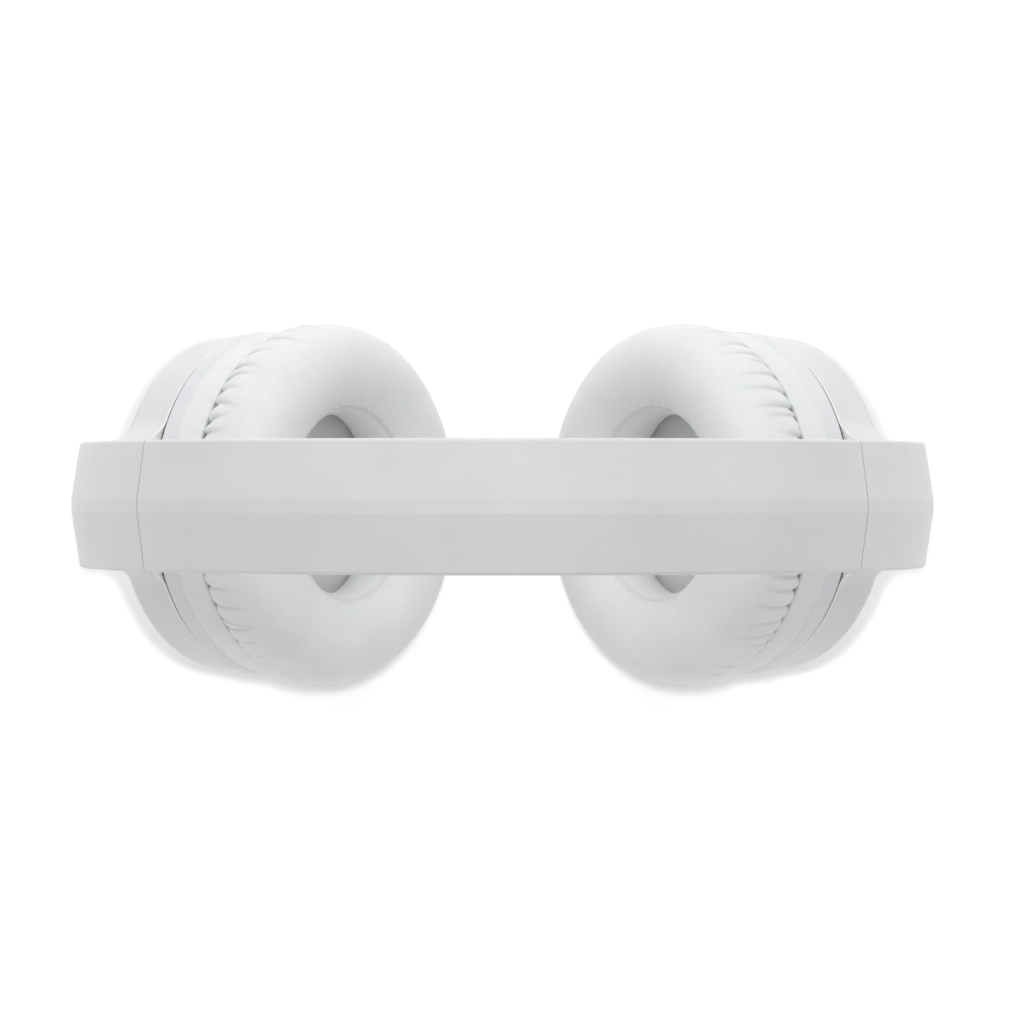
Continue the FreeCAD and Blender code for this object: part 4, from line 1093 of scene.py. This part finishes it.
    def seam_place(self) -> tuple[float, float]:
        """The a and r of the inner seam, on the roll's hole side."""
        line = self.roll()
        inner = line[np.argmax(line[:, 0]):]
        index = int(np.argmin(np.abs(inner[:, 0] - self.sizes.seam_a)))
        return float(inner[index, 0]), float(inner[index, 1])

    def inner_stitches(self, obj: bpy.types.Object) -> bpy.types.Object:
        """Sew a row of stitches just outside the inner seam.

        Args:
            obj: The cushion.

        Returns:
            The stitches.
        """
        a, r = self.seam_place()
        phi = np.linspace(0.0, 2.0 * math.pi, 240, endpoint=False)
        line = settle(self.cup.points(a + 1.05, r + 1.0, phi), obj, 0.04)
        return StitchRow(self.finishes.thread).sew("cushion_stitches_" + self.cup.label, line, True, 2.4, 1.7,
                                                   0.24)


@dataclass
class SpeakerScreen:
    """Thin foam disc under acoustic cloth, a little crowned, at the bottom of a cushion's hole."""

    cup: CupFrame
    finishes: Finishes
    back_a: float = 6.72
    radius: float = 28.2
    edge_a: float = 8.4
    crown_a: float = 9.3
    columns: int = 72

    def profile(self) -> list[tuple[float, float]]:
        """The section's (a, r) points from the back's rim to the front, without the two poles."""
        rim = [(self.back_a, self.radius * 0.5), (self.back_a, self.radius - 0.4), (self.back_a + 0.3, self.radius),
               (self.edge_a - 0.7, self.radius), (self.edge_a, self.radius - 0.7)]
        rise = self.crown_a - self.edge_a
        return rim + [(self.edge_a + rise * (1.0 - share ** 2), (self.radius - 0.7) * share)
                      for share in (0.92, 0.8, 0.65, 0.5, 0.35, 0.2, 0.08)]

    def build(self) -> bpy.types.Object:
        """Model the screen and dress it in cloth.

        Returns:
            The screen.
        """
        rows = self.profile()
        grid = self.cup.turned(rows, self.columns)
        poles = self.cup.points(np.array([self.back_a, self.crown_a]), 0.0, 0.0)
        faces = ring_faces(self.columns, len(rows), False)
        low = len(grid)
        for i in range(self.columns):
            first = i * len(rows)
            second = (i + 1) % self.columns * len(rows)
            faces.append((low, second, first))
            faces.append((low + 1, first + len(rows) - 1, second + len(rows) - 1))
        obj = mesh_object("speaker_screen_" + self.cup.label, np.vstack((grid, poles)), faces)
        divide(obj, 1)
        finish_cover(obj, self.finishes.cloth[self.cup.side])
        return obj


@dataclass
class BandPad:
    """Padded cushion under the crown, with a piped and stitched edge."""

    finishes: Finishes
    line: BandLine
    top: float = 9.6
    thick: float = 6.2
    half_y: float = 11.9
    end_elevation: float = 49.6
    sections: int = 96

    def outline(self) -> list[tuple[float, float, float]]:
        """The closed section as (y, depth, hold)."""
        rows = []
        corner = 2.3
        width = self.half_y
        low = self.top + self.thick
        for step in range(13):
            share = -1.0 + step / 6.0
            rows.append((share * (width - corner), low - 0.5 + 0.5 * math.cos(share * math.pi / 2.0), 0.0))
        for step in range(1, 4):
            turn = math.radians(90.0 - 22.5 * step)
            rows.append((width - corner + corner * math.cos(turn), low - 0.5 - corner + corner * math.sin(turn), 0.2))
        rows.append((width, self.top + 1.3, 0.7))
        rows.append((width - 0.5, self.top + 0.5, 1.0))
        rows.append((width - 1.0, self.top, 1.0))
        for step in range(5):
            rows.append(((width - 3.0) * (0.8 - 0.4 * step), self.top, 1.0))
        rows.append((-width + 1.0, self.top, 1.0))
        rows.append((-width + 0.5, self.top + 0.5, 1.0))
        rows.append((-width, self.top + 1.3, 0.7))
        for step in range(3, 0, -1):
            turn = math.radians(90.0 - 22.5 * step)
            rows.append((-width + corner - corner * math.cos(turn), low - 0.5 - corner + corner * math.sin(turn),
                         0.2))
        return rows

    def build(self) -> tuple[bpy.types.Object, list[bpy.types.Object]]:
        """Model, swell and sew the pad.

        Returns:
            The pad and its two rows of stitches.
        """
        rows = self.outline()
        reach = self.line.elevation_distance(self.end_elevation)
        points, holds = [], []
        for index in range(self.sections + 1):
            share = -1.0 + 2.0 * index / self.sections
            distance = share * reach
            left = reach - abs(distance)
            round_off = 1.0 if left > 5.0 else math.sqrt(max(0.0, 1.0 - (1.0 - left / 5.0) ** 2))
            round_off = max(round_off, 0.06)
            for y, depth, hold in rows:
                shrunk = self.top + (depth - self.top) * round_off
                narrow = y * (0.86 + 0.14 * round_off)
                points.append(self.line.point(distance, narrow, shrunk))
                holds.append(max(hold, 1.0 if left < 4.0 else 0.0))
        count = len(rows)
        faces = []
        for i in range(self.sections):
            for k in range(count):
                m = (k + 1) % count
                faces.append((i * count + k, (i + 1) * count + k, (i + 1) * count + m, i * count + m))
        faces.append(tuple(range(count)))
        faces.append(tuple(self.sections * count + k for k in range(count)))
        obj = mesh_object("headband_pad", points, faces)
        Padding(pressure=4.0, cap_mm=0.6).swell(obj, holds)
        divide(obj, 2)
        self.quilt(obj)
        finish_cover(obj, self.finishes.leather)
        return obj, self.stitches(obj, reach)

    def quilt(self, obj: bpy.types.Object) -> None:
        """Press two long seams into the pad's lower face and mark painted shade in their grooves.

        Args:
            obj: The pad.
        """
        points = read_points(obj.data)
        normals = read_normals(obj.data)
        low = np.clip((-normals[:, 2] - 0.2) / 0.5, 0.0, 1.0)
        y = points[:, 1] / MM
        groove = np.exp(-((np.abs(y) - 9.2) / 0.5) ** 2) * low
        write_points(obj.data, points - normals * (0.38 * groove * MM)[:, None])
        # Painted shade in the two grooves.
        store(obj.data, "fold", 0.6 * groove)

    def stitches(self, obj: bpy.types.Object, reach: float) -> list[bpy.types.Object]:
        """Two rows of stitches beside the long seams.

        Args:
            obj: The pad.
            reach: Half the pad's length along the ridge, in millimetres.

        Returns:
            The two rows.
        """
        row = StitchRow(self.finishes.thread)
        made = []
        for side in (-1.0, 1.0):
            line = settle([self.line.point(d, side * 8.3, self.top + self.thick)
                           for d in np.linspace(-reach + 7.0, reach - 7.0, 120)], obj, 0.06)
            name = "pad_stitches_front" if side > 0 else "pad_stitches_back"
            made.append(row.sew(name, line, False, 3.2, 2.2, 0.34))
        return made


# ---- carried-over nodes ------------------------------------------------------------------------------------


class Wardrobe:
    """Puts a procedural finish on the rigid nodes."""

    def __init__(self, frame: dict, finishes: Finishes) -> None:
        """Keep the carried-over nodes and the material of each."""
        self.nodes = frame["nodes"]
        self.finishes = finishes.by_node()

    def finish_for(self, name: str) -> bpy.types.Material | None:
        """The material for a node.

        Args:
            name: The node's name.

        Returns:
            The material of its full name, or of the start of it.
        """
        if name in self.finishes:
            return self.finishes[name]
        for start, material in self.finishes.items():
            if name.startswith(start):
                return material
        return None

    def dress(self) -> None:
        """Give every rigid node its material."""
        for name, obj in self.nodes.items():
            material = self.finish_for(name)
            if material is not None:
                wear(obj, material)


# ---- studio ------------------------------------------------------------------------------------------------


@dataclass
class Studio:
    """White floor, soft light and a camera straight above."""

    CASTERS = ("cushion_left", "cushion_right", "cup_housing", "cover_shell")
    arms: tuple[bpy.types.Object, bpy.types.Object]
    camera_height: float = 0.8616
    lens: float = 129.5
    floor_glow: float = 0.04
    overhead: float = 0.42
    sky: float = 0.45
    shadow_lamp: tuple[float, float, float] = (0.0, 0.015, 0.6)
    shadow_power: float = 1.25
    key_power: float = 17.5
    fill_power: float = 2.2
    floor_half: float = 3.0

    def floor(self) -> bpy.types.Object:
        """A large pale floor that the camera sees as white except where it is shaded."""
        mesh = bpy.data.meshes.new("floor")
        half = self.floor_half
        mesh.from_pydata([(-half, -half, 0), (half, -half, 0), (half, half, 0), (-half, half, 0)], [],
                         [(0, 1, 2, 3)])
        obj = new_object("floor", mesh)
        graph = NodeGraph("studio_floor")
        path = graph.add("ShaderNodeLightPath")
        mirrored = graph.math("MAXIMUM", path.outputs["Is Glossy Ray"], path.outputs["Is Transmission Ray"])
        eye = graph.math("MAXIMUM", path.outputs["Is Camera Ray"], mirrored)
        far = graph.add("ShaderNodeVectorMath", {0: graph.place}, operation="LENGTH").outputs["Value"]
        glow = graph.spread(far, 0.17, 0.7, self.floor_glow, 0.8)
        graph.set(Base_Color=linear("F7F7F7"), Roughness=0.9, Specular_IOR_Level=0.0,
                  Emission_Color=(1.0, 1.0, 1.0, 1.0),
                  Emission_Strength=graph.math("MULTIPLY", eye, glow))
        mesh.materials.append(graph.material)
        return obj

    def follow_arms(self, floor: bpy.types.Object) -> None:
        """Keep the floor under the cups: it goes down with the arm that is drawn out further.

        Args:
            floor: The floor.
        """
        tree = bpy.data.node_groups.new("floor_under_cups", "GeometryNodeTree")
        for way in ("INPUT", "OUTPUT"):
            tree.interface.new_socket("Geometry", in_out=way, socket_type="NodeSocketGeometry")
        levels = []
        for arm in self.arms:
            info = tree.nodes.new("GeometryNodeObjectInfo")
            info.inputs["Object"].default_value = arm
            parts = tree.nodes.new("ShaderNodeSeparateXYZ")
            tree.links.new(info.outputs["Location"], parts.inputs[0])
            levels.append(parts.outputs[2])
        lower = tree.nodes.new("ShaderNodeMath")
        lower.operation = "MINIMUM"
        place = tree.nodes.new("ShaderNodeCombineXYZ")
        move = tree.nodes.new("GeometryNodeTransform")
        for source, target in ((levels[0], lower.inputs[0]), (levels[1], lower.inputs[1]),
                               (lower.outputs[0], place.inputs[2]), (place.outputs[0], move.inputs["Translation"]),
                               (tree.nodes.new("NodeGroupInput").outputs[0], move.inputs[0]),
                               (move.outputs[0], tree.nodes.new("NodeGroupOutput").inputs[0])):
            tree.links.new(source, target)
        floor.modifiers.new("under_cups", "NODES").node_group = tree

    def lights(self, floor: bpy.types.Object) -> None:
        """A broad softbox on the front side, a weak one behind, an even sky, and the shadow lamp.

        Args:
            floor: The floor.
        """
        self.area("key", (0.0, 1.25, 1.15), (2.8, 1.3), self.key_power)
        self.area("fill", (0.0, -1.3, 1.2), (2.4, 1.3), self.fill_power)
        self.draw_shadow(floor)
        world = bpy.data.worlds.new("sky")
        world.use_nodes = True
        tree = world.node_tree
        light = tree.nodes["Background"]
        light.inputs[0].default_value = (1.0, 1.0, 1.0, 1.0)
        path = tree.nodes.new("ShaderNodeLightPath")
        seen = tree.nodes.new("ShaderNodeMapRange")
        seen.inputs["To Min"].default_value = self.sky
        tree.links.new(path.outputs["Is Camera Ray"], seen.inputs["Value"])
        tree.links.new(seen.outputs[0], light.inputs[1])
        bpy.context.scene.world = world

    def draw_shadow(self, floor: bpy.types.Object) -> None:
        """Light from straight above, and a small lamp for the floor alone; only the cups draw shadows in them.

        Args:
            floor: The floor.
        """
        lit = bpy.data.collections.new("lit_floor")
        lit.objects.link(floor)
        casters = bpy.data.collections.new("shadow_casters")
        for obj in bpy.context.scene.objects:
            if obj.type == "MESH" and obj.name.startswith(self.CASTERS):
                casters.objects.link(obj)
        sun = new_object("overhead", bpy.data.lights.new("overhead", "SUN"))
        sun.data.energy = self.overhead
        sun.data.angle = math.radians(20.0)
        sun.light_linking.blocker_collection = casters
        lamp = self.area("shadow_lamp", self.shadow_lamp, (0.03, 0.03), self.shadow_power)
        lamp.data.shape = "DISK"
        lamp.light_linking.receiver_collection = lit
        lamp.light_linking.blocker_collection = casters

    def area(self, name: str, place: tuple[float, float, float], size: tuple[float, float],
             power: float) -> bpy.types.Object:
        """Add one area light that points at the headphones.

        Args:
            name: Name of the light.
            place: Where it hangs.
            size: Its width and height, in metres.
            power: Watts.

        Returns:
            The light's object.
        """
        data = bpy.data.lights.new(name, "AREA")
        data.shape = "RECTANGLE"
        data.size, data.size_y = size
        data.energy = power
        obj = new_object(name, data)
        obj.location = place
        aim = Vector((0.0, 0.0, 0.06)) - Vector(place)
        obj.rotation_euler = aim.to_track_quat("-Z", "Y").to_euler()
        return obj

    def camera(self) -> None:
        """A long lens straight down, with the object a little off the middle."""
        data = bpy.data.cameras.new("camera")
        data.lens = self.lens
        data.sensor_width = 36.0
        data.shift_x = 9.5 / 1024.0
        data.shift_y = -27.0 / 1024.0
        data.clip_start = 0.01
        obj = new_object("camera", data)
        obj.location = (0.0, 0.0041, self.camera_height)
        bpy.context.scene.camera = obj

    def build(self) -> None:
        """Set the whole studio up."""
        floor = self.floor()
        self.follow_arms(floor)
        self.lights(floor)
        self.camera()
        bpy.context.scene.view_settings.view_transform = "Standard"


# ---- the whole scene -----------------------------------------------------------------------------------------


def band_height(frame: dict) -> float:
    """Height of the headband's centre, from where the swivel pins are.


    Returns:
        Millimetres above the floor.
    """
    pins = [joint["pos_m"][2] for joint in frame["record"]["behaviour"]["joints"] if joint["type"] == "hinge"]
    return pins[0] / MM + PIN_DROP


def build_cups(finishes: Finishes, nodes: dict, lift: float) -> None:
    """Build both cups' covers, ear cushions and screens, and fix them to their cups.

    Args:
        finishes: The materials.
        nodes: The carried-over objects by name.
        lift: Height of the headband's centre, in millimetres.
    """
    for side in (1, -1):
        cup = CupFrame(side, lift)
        body = "cup_" + cup.label + "_body"
        cushion, stitches = EarCushion(cup, finishes).build()
        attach(cushion, body)
        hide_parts("ear_cushion_" + cup.label)
        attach(stitches, body)
        node = "cup_cover_" + cup.label
        cover = CoverShell(cup, finishes).build(nodes[node])
        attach(cover, body)
        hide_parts(node)
        screen = SpeakerScreen(cup, finishes).build()
        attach(screen, body)
        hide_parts("speaker_cloth_" + cup.label)


def build_pad(finishes: Finishes, lift: float) -> None:
    """Build the headband pad and fix it to the band.

    Args:
        finishes: The materials.
        lift: Height of the headband's centre, in millimetres.
    """
    pad, stitches = BandPad(finishes, BandLine(lift)).build()
    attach(pad, "band")
    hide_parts("band_cushion")
    for row in stitches:
        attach(row, "band")


def main() -> None:
    """Build the scene."""
    logging.basicConfig(level=logging.INFO)
    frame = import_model()
    lift = band_height(frame)
    finishes = Finishes(lift)
    Wardrobe(frame, finishes).dress()
    build_cups(finishes, frame["nodes"], lift)
    build_pad(finishes, lift)
    Studio((frame["bodies"]["arm_left_body"], frame["bodies"]["arm_right_body"])).build()


if __name__ == "__main__":
    main()
